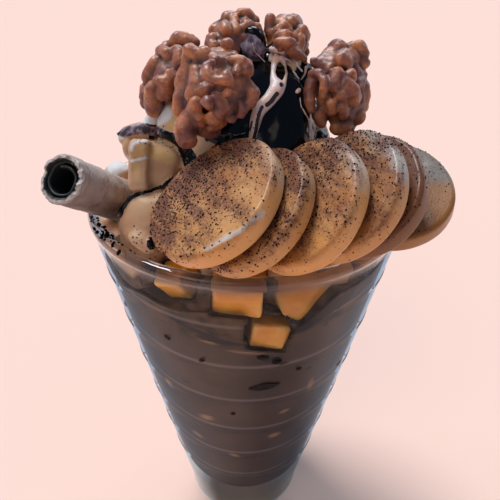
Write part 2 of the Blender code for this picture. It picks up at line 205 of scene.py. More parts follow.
def object_place(tree):
    """The surface point in millimetres."""
    place = add_node(tree, "ShaderNodeTexCoord").outputs["Object"]
    settings = {"operation": "SCALE"}
    return add_node(tree, "ShaderNodeVectorMath", settings, {0: place, "Scale": 1 / MM}).outputs[0]


def turned(name, profile, sides):
    """A closed profile of (radius, height) points turned about Z; a radius of 0 is a pole."""
    shape = bmesh.new()
    rings = []
    for radius, height in profile:
        count = sides if radius else 1
        angles = [2 * math.pi * side / sides for side in range(count)]
        ring = [shape.verts.new((radius * math.cos(a), radius * math.sin(a), height)) for a in angles]
        rings.append(ring)
    for lower, upper in zip(rings, rings[1:]):
        for side in range(sides):
            corners = []
            for ring, place in ((lower, side), (lower, side + 1), (upper, side + 1), (upper, side)):
                corner = ring[place % len(ring)]
                if corner not in corners:
                    corners.append(corner)
            shape.faces.new(corners)
    return mesh_from(shape, name)


def mesh_from(shape, name):
    bmesh.ops.recalc_face_normals(shape, faces=shape.faces)
    mesh = bpy.data.meshes.new(name)
    shape.to_mesh(mesh)
    shape.free()
    return mesh


def add_piece(name, mesh, finish, slot, *replaced):
    """A finished piece: smooth, fixed to the glass's body, in place of its CAD nodes; its slot is not used."""
    mesh.materials.clear()
    mesh.materials.append(finish)
    mesh.shade_smooth()
    piece = bpy.data.objects.new(name, mesh)
    bpy.context.collection.objects.link(piece)
    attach(piece, "root")
    if replaced:
        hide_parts(*replaced)
    return piece


def arc(centre, radius, start, end, steps):
    """Points on an arc in the profile plane, angles in degrees from +X."""
    points = []
    for step in range(steps + 1):
        angle = math.radians(start + (end - start) * step / steps)
        points.append((centre[0] + radius * math.cos(angle), centre[1] + radius * math.sin(angle)))
    return points


def outer_radius(height):
    """The glass outside, without its rings."""
    if height < HEEL_HEIGHT:
        return FOOT_RADIUS + (HEEL_RADIUS - FOOT_RADIUS) * height / HEEL_HEIGHT
    rise = min((height - HEEL_HEIGHT) / (RIM.z - HEEL_HEIGHT), 1)
    return HEEL_RADIUS + (RIM_RADIUS - HEEL_RADIUS) * rise + BELLY * 4 * rise * (1 - rise)


def inner_radius(height):
    """The glass inside: the wall, rounding into the floor."""
    wall = outer_radius(height) - WALL
    above_floor = height - FLOOR_HEIGHT
    if above_floor >= FLOOR_CORNER:
        return wall
    sunk = 1 - max(above_floor, 0) / FLOOR_CORNER
    return wall - FLOOR_CORNER * (1 - math.sqrt(1 - sunk * sunk))


def ring_bulge(height):
    """How proud of the wall the nearest ring is at this height."""
    number = min(max(round((RIM.z - height) / RING_PITCH), 1), RING_COUNT)
    away = abs(height - (RIM.z - number * RING_PITCH)) / RING_HALF_HEIGHT
    return RING_PROUD * 0.5 * (1 + math.cos(math.pi * away)) if away < 1 else 0


def glass_profile():
    corner = []
    for step in range(13):
        height = FLOOR_HEIGHT + FLOOR_CORNER * (1 - math.cos(math.radians(90 * step / 12)))
        corner.append((inner_radius(height), height))
    profile = [(0, FLOOR_HEIGHT), (inner_radius(FLOOR_HEIGHT) / 2, FLOOR_HEIGHT)] + corner
    lip_height = RIM.z - LIP_RADIUS
    inside_top = lip_height - LIP_RADIUS
    bottom = FLOOR_HEIGHT + FLOOR_CORNER
    for step in range(1, 24):
        height = bottom + (inside_top - bottom) * step / 24
        profile.append((inner_radius(height), height))
    profile += arc((RIM_RADIUS - LIP_RADIUS, lip_height), LIP_RADIUS, 200, -35, 20)
    outside = int((lip_height - LIP_RADIUS - HEEL_HEIGHT) / (0.45 * MM))
    for step in range(outside + 1):
        height = lip_height - LIP_RADIUS - (lip_height - LIP_RADIUS - HEEL_HEIGHT) * step / outside
        near_ring = abs((RIM.z - height) / RING_PITCH % 1 - 0.5) > 0.38
        if near_ring or step % 6 == 0:
            profile.append((outer_radius(height) + ring_bulge(height), height))
    profile += arc((FOOT_RADIUS - FOOT_EDGE, FOOT_EDGE), FOOT_EDGE, 0, -90, 8)
    profile += [(FOOT_RADIUS / 2, 0), (0, 0)]
    return profile


def paint(mesh, name, value_at):
    """Stores a number from 0 to 1 on every point, worked out from its place."""
    layer = mesh.attributes.new(name, "FLOAT", "POINT")
    layer.data.foreach_set("value", [min(max(value_at(v.co), 0.0), 1.0) for v in mesh.vertices])


def make_tumbler():
    mesh = turned("glass_tumbler", glass_profile(), GLASS_SIDES)
    # Marks the thick base, which the shader gives painted blue light
    paint(mesh, "base", lambda point: 1.4 - point.z / (FLOOR_HEIGHT - 1 * MM))
    # Marks the front of the rim's bead, which the shader gives painted shade and more gloss
    paint(mesh, "lip", lambda point: (point.z - RIM.z + 3.8 * MM) / (0.6 * MM) * (0.3 - point.y / (20 * MM)))
    return mesh


def clear_glass(name, bend):
    """Clear where it is looked at straight; towards its outline a faint tint and painted blue reflection, painted
    blue light in its thick base and painted shade on the front of the rim's bead. Lets light in.

    The wall bends light little, so that the drink doesn't spread over all of it, and the rim's bead bends it more.
    """
    finish, tree, shader = new_finish(
        name, Roughness=0.0, IOR=bend, Transmission_Weight=1.0, Coat_Roughness=0.04,
        Sheen_Weight=0.03, Sheen_Roughness=0.22, Sheen_Tint=(0.35, 0.65, 1.0, 1),
    )
    lip = read_attribute(tree, "lip")
    tree.links.new(stretch(tree, lip, 0.1, 0.9, 0.18, 1.0), shader.inputs["Coat Weight"])
    # Painted blue reflection towards the outline, over the glass's faint tint
    edge_on = add_node(tree, "ShaderNodeLayerWeight", None, {"Blend": 0.5}).outputs["Facing"]
    glass_tint_and_painted_light = blend_colour(tree, stretch(tree, edge_on, 0.58, 0.74), (0.98, 0.99, 1.0, 1), (0.22, 0.48, 0.78, 1))
    # Painted blue light in the thick base
    glass_tint_and_painted_light = blend_colour(tree, read_attribute(tree, "base"), glass_tint_and_painted_light, (0.60, 0.86, 1.0, 1))
    # Painted shade on the front of the rim's bead
    glass_tint_and_painted_light = blend_colour(tree, lip, glass_tint_and_painted_light, (0.38, 0.33, 0.31, 1))
    tree.links.new(glass_tint_and_painted_light, shader.inputs["Base Color"])
    shadow = add_node(tree, "ShaderNodeLightPath").outputs["Is Shadow Ray"]
    tree.links.new(stretch(tree, shadow, 0, 1, 1.0, 0.12), shader.inputs["Alpha"])
    return finish


tumbler = add_piece("glass_tumbler", make_tumbler(), clear_glass("clear_glass", WALL_BEND), "glass", "glass")
tumbler.data.materials.append(clear_glass("rim_glass", RIM_BEND))
for face in tumbler.data.polygons:
    face.material_index = 1 if face.center.z > RIM.z - BEAD_HEIGHT else 0


# ---- The milkshake ----
# Thick chocolate milk drink, greyish brown, that fills the glass and wets its wall. Froth makes it browner
# under the surface, and cocoa streaks, small hollows and smears of banana show against the glass. The dark of the
# hollows and of the gaps under the fruit is painted shade, and pale lines of painted light lie behind the rings.
INTO_WALL = 0.4 * MM
DRINK_TOP = RIM.z - 13 * MM
DRINK_TILT = 0.07
DRINK_SWELL = 2.2 * MM
DRINK_SWELL_DENSITY = 70
DRINK_SIDES = 320
# Marks on the wall of drink: bearing, height from the rim, half width, half height and tilt, angles in degrees
# Dark streaks: cocoa streaks, and painted shade in the small hollows and in the gaps under the rim
COCOA_AND_SHADE_STREAKS = [
    (-99, -23.6, 8.5, 0.9, -7), (-108, -21.0, 4.0, 0.7, -10), (-79, -31.0, 3.4, 0.8, -8),
    (-74, -33.6, 1.6, 0.6, 0), (-64, -17.8, 6.5, 1.9, 22), (-52, -14.5, 4.0, 2.6, 30),
    (-69, -20.5, 3.2, 0.8, 12), (-104, -4.0, 3.0, 1.1, 4), (-100, -5.0, 1.3, 1.2, 0),
    (-113, -13.0, 0.8, 0.9, 0), (-106, -12.6, 0.7, 0.8, 0), (-116, -19.0, 3.0, 0.5, -14),
    (-137, -8.0, 1.4, 1.0, 0), (-131, -13.0, 0.9, 1.3, 20), (-134, -10.5, 0.8, 0.7, 0),
    (-127, -16.4, 0.8, 0.6, 0), (-84, -26.6, 2.6, 0.5, -10), (-60, -40.0, 1.0, 0.6, 0),
    (-119, -47.0, 1.2, 0.5, 0), (-58, -21.8, 0.7, 0.6, 0), (-200, -24.0, 7.0, 0.8, 8),
    (-250, -30.0, 5.0, 0.7, -10), (60, -22.0, 6.0, 0.8, 6), (10, -28.0, 4.0, 0.7, -8),
]
TAN_SMEARS = [
    (-112, -64, 2.6, 1.5, 20), (-123, -79, 2.4, 1.3, -10), (-71, -74, 2.2, 1.4, 0), (-55, -50, 1.2, 3.2, 8),
    (-104, -24.6, 2.4, 0.5, -6), (-90, -27.5, 5.0, 0.5, -8), (-68, -60, 1.8, 0.9, 10), (-135, -55, 1.6, 2.2, 20),
    (-97, -86, 2.0, 0.9, -20), (-185, -50, 2.4, 1.4, 20), (-230, -70, 2.4, 1.2, 0), (30, -60, 2.4, 1.4, -20),
    (85, -44, 2.0, 1.1, 10), (-20, -80, 2.0, 1.0, 0),
]


# Banana lumps that press against the glass and push the drink aside: centre, half sizes, turns about X, Y and Z
LUMPS = {
    "chunk_1": ((-16.8, -30.4, -10.0), (4.2, 3.6, 3.6), (20, -28, -24)),
    "chunk_2": ((-1.6, -35.2, -9.6), (6.2, 3.8, 5.4), (14, 4, -3)),
    "chunk_3": ((5.8, -32.2, -25.0), (5.0, 3.4, 3.6), (-10, 12, 8)),
    "chunk_4": ((28.2, -20.5, -9.0), (4.2, 3.6, 4.2), (10, 10, 38)),
}
# The half-sunk slice: centre, the way its face looks, radius, thickness
SLAB = ((16.2, -31.8, -9.6), (0.30, -0.90, 0.30), 10.4, 4.0)
# The drink laps over it below a slanting line: depth under the rim at the middle, and how it grows to the right
SUNK_LINE = (31.8, -0.94)
# Drink up to this far in front of a lump, as seen from the eye, is pressed to this share of the way through it
PRESSED_FROM, PRESSED_TO = 14, 0.6


def rim_point(millimetres):
    """A place given in millimetres from the rim's centre."""
    return RIM + Vector(millimetres) * MM


def facing(direction, along):
    """A rotation whose local Z is direction and whose local X is as near along as it can be."""
    up = Vector(direction).normalized()
    side = Vector(along)
    side = (side - up * side.dot(up)).normalized()
    return Matrix((side, up.cross(side), up)).transposed().to_4x4()


def lump_place(centre, turns):
    place = Matrix.Translation(rim_point(centre))
    for axis, turn in zip("XYZ", turns):
        place = place @ Matrix.Rotation(math.radians(turn), 4, axis)
    return place


def slab_place(centre, face):
    return Matrix.Translation(rim_point(centre)) @ facing(face, Vector((0, 0, 1)).cross(Vector(face)))


def points_of(mesh):
    """The mesh's points as rows, in millimetres from the rim's centre."""
    rows = np.empty(len(mesh.vertices) * 3)
    mesh.vertices.foreach_get("co", rows)
    return (rows.reshape(-1, 3) - np.array(RIM)) / MM


def set_points(mesh, rows):
    mesh.vertices.foreach_set("co", (rows * MM + np.array(RIM)).ravel())
    mesh.update()


def paint_all(mesh, name, values):
    """Stores one number from 0 to 1 for every point."""
    layer = mesh.attributes.new(name, "FLOAT", "POINT")
    layer.data.foreach_set("value", np.clip(values, 0, 1).astype(np.float32))


def grain(rows, scale, seed=0.0):
    """Smooth noise from about -1 to 1 at each row."""
    return np.array([noise.noise(Vector(row)) for row in rows * scale + seed])


def make_room(rows, margin):
    """Presses points in front of a banana lump back into it, so that the lump shows against the glass."""
    rows = rows.copy()
    way = rows - np.array(EYE - RIM) / MM
    way /= np.linalg.norm(way, axis=1)[:, None]
    for centre, half_sizes, turns in LUMPS.values():
        turn = np.array(lump_place(centre, turns).to_3x3())
        start, seen, reach = (rows - np.array(centre)) @ turn, way @ turn, np.array(half_sizes) + margin
        ends = np.stack([(-reach - start) / seen, (reach - start) / seen])
        near, far = ends.min(axis=0).max(axis=1), ends.max(axis=0).min(axis=1)
        pressed = np.maximum(near + PRESSED_TO * (far - near), 0)
        rows += np.where((far > near) & (near < PRESSED_FROM), pressed, 0)[:, None] * way
    centre, face, radius, thickness = SLAB
    turn = np.array(slab_place(centre, face).to_3x3())
    local = (rows - np.array(centre)) @ turn
    beside = np.hypot(local[:, 0], local[:, 1]) - radius
    sunk = rows[:, 2] + SUNK_LINE[0] + SUNK_LINE[1] * rows[:, 0]
    in_front = local[:, 2] > -0.5 * thickness
    share = np.clip((margin - beside) / 0.5, 0, 1) * np.clip(sunk / 1.2, 0, 1) * in_front
    return rows - (share * (local[:, 2] + 0.5 * thickness))[:, None] * turn[:, 2]


def drink_level(x, y):
    """Height of the drink's uneven surface, as in the solid."""
    swell = noise.noise(Vector((x, y, 0)) * DRINK_SWELL_DENSITY)
    return DRINK_TOP + DRINK_TILT * x + DRINK_SWELL * swell


def drink_profile():
    """From the floor up the wall, where the levels are close, and over the surface to its middle."""
    profile = [(0, FLOOR_HEIGHT - INTO_WALL), (inner_radius(FLOOR_HEIGHT) / 2, FLOOR_HEIGHT - INTO_WALL)]
    steps = int((DRINK_TOP - FLOOR_HEIGHT) / (0.6 * MM))
    for step in range(steps + 1):
        height = FLOOR_HEIGHT + (DRINK_TOP - FLOOR_HEIGHT) * step / steps
        profile.append((inner_radius(height) + INTO_WALL, height - INTO_WALL * (1 - step / steps)))
    surface = inner_radius(DRINK_TOP) + INTO_WALL
    for ring in range(29, -1, -1):
        profile.append((surface * ring / 30, DRINK_TOP))
    return profile


def wall_marks(rows, marks):
    """How strongly each point on the drink's wall is covered by the marks."""
    bearing = np.degrees(np.arctan2(rows[:, 1], rows[:, 0]))
    radius = np.hypot(rows[:, 0], rows[:, 1])
    total = np.zeros(len(rows))
    for angle, height, half_width, half_height, tilt in marks:
        along = np.radians((bearing - angle + 180) % 360 - 180) * radius
        up = rows[:, 2] - height
        turn = math.radians(tilt)
        across = along * math.cos(turn) + up * math.sin(turn)
        over = up * math.cos(turn) - along * math.sin(turn)
        total += np.exp(-(across / half_width) ** 2 - (over / half_height) ** 2)
    return total


def froth_depth(rows):
    """1 in the browner froth near the surface, which reaches deeper at the front, 0 well below it."""
    bearing = np.arctan2(rows[:, 1], rows[:, 0])
    line = -20 - 4 * np.cos(bearing + 1.9) + 1.2 * np.sin(5 * bearing) + 0.7 * np.sin(11 * bearing + 1)
    return 0.5 + (rows[:, 2] - line) / 2


def painted_ring_light(rows):
    """1 behind the middle of each moulded ring, where painted light lies on the drink behind it."""
    under = -rows[:, 2] - 1.1
    number = np.clip(np.round(under / (RING_PITCH / MM)), 1, RING_COUNT)
    return 1 - np.abs(under - number * RING_PITCH / MM) / 0.9


def make_drink_mesh():
    mesh = turned("drink", drink_profile(), DRINK_SIDES)
    shift = DRINK_TOP - 12 * MM
    for vertex in mesh.vertices:
        x, y, z = vertex.co
        rise = max(z - shift, 0) / (DRINK_TOP - shift)
        if rise:
            z += (drink_level(x, y) - DRINK_TOP) * rise
            if rise > 0.99:
                z += 0.5 * MM * noise.noise(Vector((x, y, 0)) / MM * 0.35)
            reach = min((inner_radius(z) + INTO_WALL) / math.hypot(x, y), 1.02) if x or y else 1
            vertex.co = (x * reach, y * reach, z) if rise < 0.99 else (x, y, z)
    rows = points_of(mesh)
    # Cocoa streaks and painted shade
    paint_all(mesh, "dark", wall_marks(rows, COCOA_AND_SHADE_STREAKS))
    paint_all(mesh, "tan", wall_marks(rows, TAN_SMEARS))
    paint_all(mesh, "froth", froth_depth(rows))
    # Painted pale lines of light behind the rings
    paint_all(mesh, "glow", painted_ring_light(rows))
    set_points(mesh, make_room(rows, 0.2))
    return mesh


def make_group(name, inputs, outputs):
    """An empty shader node group with number inputs and outputs, and its two end nodes."""
    group = bpy.data.node_groups.new(name, "ShaderNodeTree")
    for title, value in inputs.items():
        kind = "NodeSocketVector" if value is None else "NodeSocketFloat"
        made = group.interface.new_socket(title, in_out="INPUT", socket_type=kind)
        if value is not None:
            made.default_value = value
    for title in outputs:
        group.interface.new_socket(title, in_out="OUTPUT", socket_type="NodeSocketFloat")
    return group, group.nodes.new("NodeGroupInput"), group.nodes.new("NodeGroupOutput")


def make_clouds():
    """Soft clouds that cover part of a surface: mask 0 to 1 from noise, between two thresholds."""
    group, start, end = make_group("clouds", {"Place": None, "Scale": 0.2, "Low": 0.4, "High": 0.6}, ["Mask"])
    inputs = {"Vector": start.outputs["Place"], "Scale": start.outputs["Scale"], "Detail": 4.0}
    cloud = add_node(group, "ShaderNodeTexNoise", None, inputs).outputs["Fac"]
    mask = stretch(group, cloud, start.outputs["Low"], start.outputs["High"])
    group.links.new(mask, end.inputs["Mask"])
    return group


def make_dots():
    """Small round specks of uneven size: mask 1 in a speck. Amount is the share of cells that hold one."""
    inputs = {"Place": None, "Scale": 1.0, "Size": 0.3, "Amount": 0.5}
    group, start, end = make_group("dots", inputs, ["Mask"])
    inputs = {"Vector": start.outputs["Place"], "Scale": start.outputs["Scale"]}
    cells = add_node(group, "ShaderNodeTexVoronoi", None, inputs)
    chance = add_node(group, "ShaderNodeSeparateColor", None, {0: cells.outputs["Color"]})
    uneven = stretch(group, chance.outputs[1], 0, 1, 0.4, 1.0)
    radius = combine(group, "MULTIPLY", start.outputs["Size"], uneven)
    inside = combine(group, "SUBTRACT", radius, cells.outputs["Distance"])
    soft = stretch(group, inside, 0.0, 0.08)
    present = combine(group, "LESS_THAN", chance.outputs[0], start.outputs["Amount"])
    group.links.new(combine(group, "MULTIPLY", soft, present), end.inputs["Mask"])
    return group


CLOUDS = make_clouds()
DOTS = make_dots()


def use_group(tree, group, **inputs):
    """Places a node group in a material and gives back its first output."""
    made = add_node(tree, "ShaderNodeGroup", {"node_tree": group}, inputs)
    return made.outputs[0]


def milk_drink():
    finish, tree, shader = new_finish(
        "milk_drink", Roughness=0.42, Coat_Weight=0.10, Coat_Roughness=0.15, Specular_IOR_Level=0.2
    )
    place = object_place(tree)
    froth = stretch(tree, read_attribute(tree, "froth"), 0.2, 0.8)
    deep = blend_colour(tree, use_group(tree, CLOUDS, Place=place, Scale=0.06, Low=0.35, High=0.65),
                        (0.038, 0.020, 0.015, 1), (0.076, 0.044, 0.032, 1))
    frothy = blend_colour(tree, use_group(tree, CLOUDS, Place=place, Scale=0.22, Low=0.38, High=0.62),
                          (0.016, 0.007, 0.004, 1), (0.090, 0.042, 0.018, 1))
    colour = blend_colour(tree, froth, deep, frothy)
    # Painted light behind the rings: a pale line on the drink
    glow = stretch(tree, read_attribute(tree, "glow"), 0.0, 0.8, 0.0, 0.6)
    colour = blend_colour(tree, glow, colour, (0.20, 0.155, 0.145, 1))
    tan = stretch(tree, read_attribute(tree, "tan"), 0.15, 0.8)
    colour = blend_colour(tree, combine(tree, "MULTIPLY", tan, 0.65), colour, (0.36, 0.20, 0.10, 1))
    # Cocoa streaks and painted shade, near black
    ragged = combine(tree, "ADD", read_attribute(tree, "dark"),
                     use_group(tree, CLOUDS, Place=place, Scale=0.9, Low=0.35, High=1.6))
    dark = stretch(tree, ragged, 0.42, 0.62)
    colour = blend_colour(tree, combine(tree, "MULTIPLY", dark, 0.95), colour, (0.006, 0.004, 0.004, 1))
    specks = use_group(tree, DOTS, Place=place, Scale=0.34, Size=0.16, Amount=0.22)
    colour = blend_colour(tree, combine(tree, "MULTIPLY", specks, 0.55), colour, (0.03, 0.018, 0.015, 1))
    tree.links.new(colour, shader.inputs["Base Color"])
    return finish


add_piece("drink", make_drink_mesh(), milk_drink(), "milkshake", "shake")


# ---- Chocolate flakes in the drink ----
# Thin shavings of dark chocolate that float against the wall, each bent to the glass.
# Bearing, height from the rim, half length, half width, tilt
FLAKES = [
    (-81, -43.6, 4.6, 1.5, 8), (-83, -29.8, 1.7, 0.9, -10), (-77, -32.2, 1.5, 0.8, 15),
    (-108, -33.0, 1.0, 0.5, 20), (-66, -38.0, 0.9, 0.5, 0), (-123, -28.0, 1.1, 0.6, -20),
    (-96, -58.0, 0.8, 0.4, 10), (-170, -36.0, 2.2, 0.9, 12), (120, -30.0, 2.6, 1.0, -14),
    (45, -46.0, 1.8, 0.8, 8), (-30, -52.0, 1.4, 0.7, 0),
]
FLAKE_THICKNESS = 0.5 * MM
FLAKE_INTO_WALL = 0.7 * MM


def make_flakes():
    shape = bmesh.new()
    for number, (bearing, height, half_length, half_width, tilt) in enumerate(FLAKES):
        made = bmesh.ops.create_uvsphere(shape, u_segments=20, v_segments=8, radius=1)["verts"]
        turn = math.radians(tilt)
        radius = inner_radius(RIM.z + height * MM)
        for vertex in made:
            x, y, z = vertex.co
            pointed = 1 - 0.35 * x * x
            wavy = 1 + 0.5 * noise.noise(Vector((x * 1.7, y * 1.7, number * 3.1)))
            along, up = x * half_length, y * half_width * pointed * wavy
            across = along * math.cos(turn) - up * math.sin(turn)
            over = along * math.sin(turn) + up * math.cos(turn)
            angle = math.radians(bearing) + across * MM / radius
            level = RIM.z + (height + over) * MM
            reach = inner_radius(level) + FLAKE_INTO_WALL + z * FLAKE_THICKNESS
            vertex.co = (reach * math.cos(angle), reach * math.sin(angle), level)
    return mesh_from(shape, "chocolate_flakes")


def dark_chocolate():
    finish, tree, shader = new_finish("dark_chocolate", Roughness=0.45, Specular_IOR_Level=0.08)
    mask = use_group(tree, CLOUDS, Place=object_place(tree), Scale=1.2, Low=0.4, High=0.7)
    colour = blend_colour(tree, mask, (0.004, 0.003, 0.003, 1), (0.013, 0.008, 0.007, 1))
    tree.links.new(colour, shader.inputs["Base Color"])
    return finish


DARK_CHOCOLATE = dark_chocolate()
add_piece("chocolate_flakes", make_flakes(), DARK_CHOCOLATE, "milkshake")


# ---- Banana in the drink ----
# Knife-cut lumps and a half-sunk slice of banana, soft and stained orange-brown by the drink. Each is cut from
# firm flesh, so its faces are nearly flat and its edges are worn round and paler.
CHUNK_EDGE = 0.9 * MM
CHUNK_UNEVEN = 0.16
CHUNK_GRAIN = 0.35 * MM


def finished(item, name):
    """The plain mesh that an object's modifiers make of it. The object itself is removed."""
    mesh = bpy.data.meshes.new_from_object(item.evaluated_get(bpy.context.evaluated_depsgraph_get()))
    bpy.data.objects.remove(item)
    mesh.name = name
    return mesh


def melt(name, shape, cell, rounds):
    """Fuses the overlapping closed forms of a bmesh into one soft skin of even small faces."""
    item = bpy.data.objects.new(name, mesh_from(shape, name))
    bpy.context.collection.objects.link(item)
    fuse = item.modifiers.new("fuse", "REMESH")
    fuse.mode = "VOXEL"
    fuse.voxel_size = cell
    soften = item.modifiers.new("soften", "SMOOTH")
    soften.factor = 0.5
    soften.iterations = rounds
    return finished(item, name)


def shift_points(mesh, amount_at):
    """Moves every point along its normal by amount_at(point, normal)."""
    moved = [v.co + v.normal * amount_at(v.co, v.normal) for v in mesh.vertices]
    mesh.vertices.foreach_set("co", [value for point in moved for value in point])
    mesh.update()


def paint_relief(mesh, rounds, full):
    """Paints 0 in creases, 0.5 where the surface is even and 1 on ridges that stand full proud of it."""
    places = np.empty(len(mesh.vertices) * 3, np.float32)
    normals = np.empty(len(mesh.vertices) * 3, np.float32)
    ends = np.empty(len(mesh.edges) * 2, np.int32)
    mesh.vertices.foreach_get("co", places)
    mesh.vertices.foreach_get("normal", normals)
    mesh.edges.foreach_get("vertices", ends)
    places, normals, ends = places.reshape(-1, 3), normals.reshape(-1, 3), ends.reshape(-1, 2)
    neighbours = np.bincount(ends.ravel(), minlength=len(places))
    even = places.astype(float)
    for _ in range(rounds):
        total = np.zeros_like(even)
        for axis in range(3):
            total[:, axis] += np.bincount(ends[:, 0], even[ends[:, 1], axis], len(even))
            total[:, axis] += np.bincount(ends[:, 1], even[ends[:, 0], axis], len(even))
        even = 0.5 * even + 0.5 * total / np.maximum(neighbours, 1)[:, None]
    proud = ((places - even) * normals).sum(axis=1)
    layer = mesh.attributes.new("relief", "FLOAT", "POINT")
    layer.data.foreach_set("value", np.clip(0.5 + 0.5 * proud / full, 0, 1).astype(np.float32))


def make_chunk(name, number, centre, half_sizes, turns):
    """The box with uneven corners of the solid, with worn edges and slightly dented faces."""
    shape = bmesh.new()
    bmesh.ops.create_cube(shape, size=2)
    for vertex in shape.verts:
        corner = vertex.co.copy()
        for i in range(3):
            pull = noise.noise(corner * 2.3 + Vector((number * 7.1, i * 5.3, 0))) * CHUNK_UNEVEN
            vertex.co[i] = (corner[i] + pull) * half_sizes[i] * MM
    bmesh.ops.bevel(shape, geom=list(shape.edges), offset=CHUNK_EDGE, segments=4, profile=0.5, affect="EDGES")
    shape.transform(lump_place(centre, turns))
    mesh = melt(name, shape, CHUNK_GRAIN, 2)
    shift_points(mesh, lambda point, normal: 0.35 * MM * noise.noise(point / MM * 0.22 + Vector((number, 0, 0)))
                 + 0.10 * MM * noise.noise(point / MM * 0.9))
    paint_relief(mesh, 12, 0.25 * MM)
    return mesh


def slice_profile(radius, thickness, edge):
    """From the middle of the upper face, at height 0, over the rounded edges to the middle of the lower one."""
    profile = [(0, 0)] + [(radius * step / 12, 0) for step in range(1, 11)]
    profile += arc((radius - edge, -edge), edge, 90, 0, 6)
    profile += [(radius, -thickness / 2)]
    profile += arc((radius - edge, edge - thickness), edge, 0, -90, 6)
    profile += [(radius * step / 6, -thickness) for step in (4, 2)] + [(0, -thickness)]
    return profile


def make_slab(name, centre, face, radius, thickness):
    mesh = turned(name, slice_profile(radius * MM, thickness * MM, 1.1 * MM), 72)
    for vertex in mesh.vertices:
        angle = math.atan2(vertex.co.y, vertex.co.x)
        uneven = 1 + 0.02 * math.cos(3 * angle + 0.6) + 0.01 * math.cos(7 * angle)
        vertex.co = (vertex.co.x * uneven, vertex.co.y * uneven, vertex.co.z)
    mesh.transform(slab_place(centre, face))
    shift_points(mesh, lambda point, normal: 0.3 * MM * noise.noise(point / MM * 0.25))
    paint_relief(mesh, 6, 0.25 * MM)
    return mesh


def stained_banana():
    finish, tree, shader = new_finish(
        "stained_banana", Roughness=0.38, Coat_Weight=0.2, Subsurface_Weight=0.15,
        Subsurface_Radius=(3.0, 1.4, 0.6), Subsurface_Scale=MM,
    )
    place = object_place(tree)
    mask = use_group(tree, CLOUDS, Place=place, Scale=0.16, Low=0.38, High=0.62)
    colour = blend_colour(tree, mask, (0.80, 0.28, 0.022, 1), (0.90, 0.40, 0.045, 1))
    pale = stretch(tree, read_attribute(tree, "relief"), 0.55, 0.9)
    colour = blend_colour(tree, combine(tree, "MULTIPLY", pale, 0.5), colour, (0.95, 0.62, 0.22, 1))
    specks = use_group(tree, DOTS, Place=place, Scale=0.55, Size=0.14, Amount=0.12)
    colour = blend_colour(tree, combine(tree, "MULTIPLY", specks, 0.7), colour, (0.14, 0.055, 0.02, 1))
    tree.links.new(colour, shader.inputs["Base Color"])
    return finish


STAINED_BANANA = stained_banana()
for number, (name, (centre, half_sizes, turns)) in enumerate(LUMPS.items(), start=1):
    mesh = make_chunk(f"banana_lump_{number}", number, centre, half_sizes, turns)
    add_piece(mesh.name, mesh, STAINED_BANANA, "banana_in_drink", name)
add_piece("sunk_slice", make_slab("sunk_slice", *SLAB), STAINED_BANANA, "banana_in_drink", "slab")


# ---- Whipped cream and sauce ----
# A soft mound of whipped cream on the drink, with a twisted peak, spooned folds and a curl down its front.
# Thick dark sauce is poured over the peak and runs into a pool behind the banana slices.
CREAM_GRAIN = 0.5 * MM
# Lumps: centre, half sizes, turn in degrees, squareness (2 is an ellipsoid)
CREAM_LUMPS = {
    "mound": ((0, 4, -13), (41, 36.5, 26), 0, 2.0),
    "froth_left": ((-27, -23, -8), (9, 9, 7), 0, 2.2),
    "froth_front": ((-10, -33, -10), (7, 7, 6), 0, 2.2),
    "froth_middle": ((8, -31, -8), (7, 7, 7), 0, 2.2),
    "fold_inner": ((-19, -11, 8.0), (8, 8, 9.0), -14, 2.4),
    "fold_corner": ((-24, -22, 0), (7, 8, 8), -30, 2.3),
    "under_walnuts": ((-13, -9, 21), (9.5, 9, 10), 10, 2.0),
    "behind_fan": ((14, -22, 4), (22, 14, 11), 12, 2.0),
    "sauce_pool": ((6, -17, 15.5), (22, 9, 3.6), 4, 2.0),
}
PEAK_FOOT = (1, -6, -6)
PEAK_TIP = (2.5, -8, 38)
PEAK_FOOT_RADIUS = 23
PEAK_TIP_RADIUS = 6.5
PEAK_ROUNDING = 2.2
PEAK_FLUTES = 5
PEAK_FLUTE_DEPTH = 0.06
PEAK_TWIST = 2.2
PEAK_SHOULDER, PEAK_CROWN = 0.86, 0.16
# Folds that show, as blocks that face the eye: place in a view PICTURE wide and high, how far the block's face
# lies behind the rim's centre, half size in the view, half thickness in millimetres, turn, squareness
PICTURE = 500
FOCAL = LENS / SENSOR * PICTURE
EYE_TURN = camera_turn(EYE_YAW, EYE_PITCH, EYE_ROLL).to_3x3()
CREAM_BLOCKS = [
    ((160, 168), -21.5, (25, 23), 7, -22, 3.4),
    ((143, 151), -21.8, (12, 11), 6, -8, 3.2),
    ((141, 174), -24.0, (10.5, 17.5), 4, 0, 6.0),
    ((292, 70), -11.0, (11, 15), 5, -20, 2.3),
    ((302, 92), -10.0, (9, 26), 5, -12, 2.3),
    ((154, 221), -30.5, (33, 31), 8, 8, 2.5),
    ((144, 243), -35.0, (17, 9), 3.5, -34, 2.4),
    ((141, 136), -7.5, (21, 9), 7, 16, 2.8),
    ((133, 148), -9.0, (8, 14), 6, 0, 2.3),
    ((121, 176), 2.0, (15, 14), 6, -30, 2.2),
    ((170, 111), -7.5, (5.5, 17), 4, -8, 2.4),
    ((156, 122), -6.5, (9, 9), 4, 20, 2.4),
    ((112, 224), -12.0, (12, 9), 6, 0, 2.2),
    ((252, 47), -12.0, (12, 14), 4, 20, 2.3),
    ((279, 52), -12.5, (10, 6), 4, -20, 2.2),
]
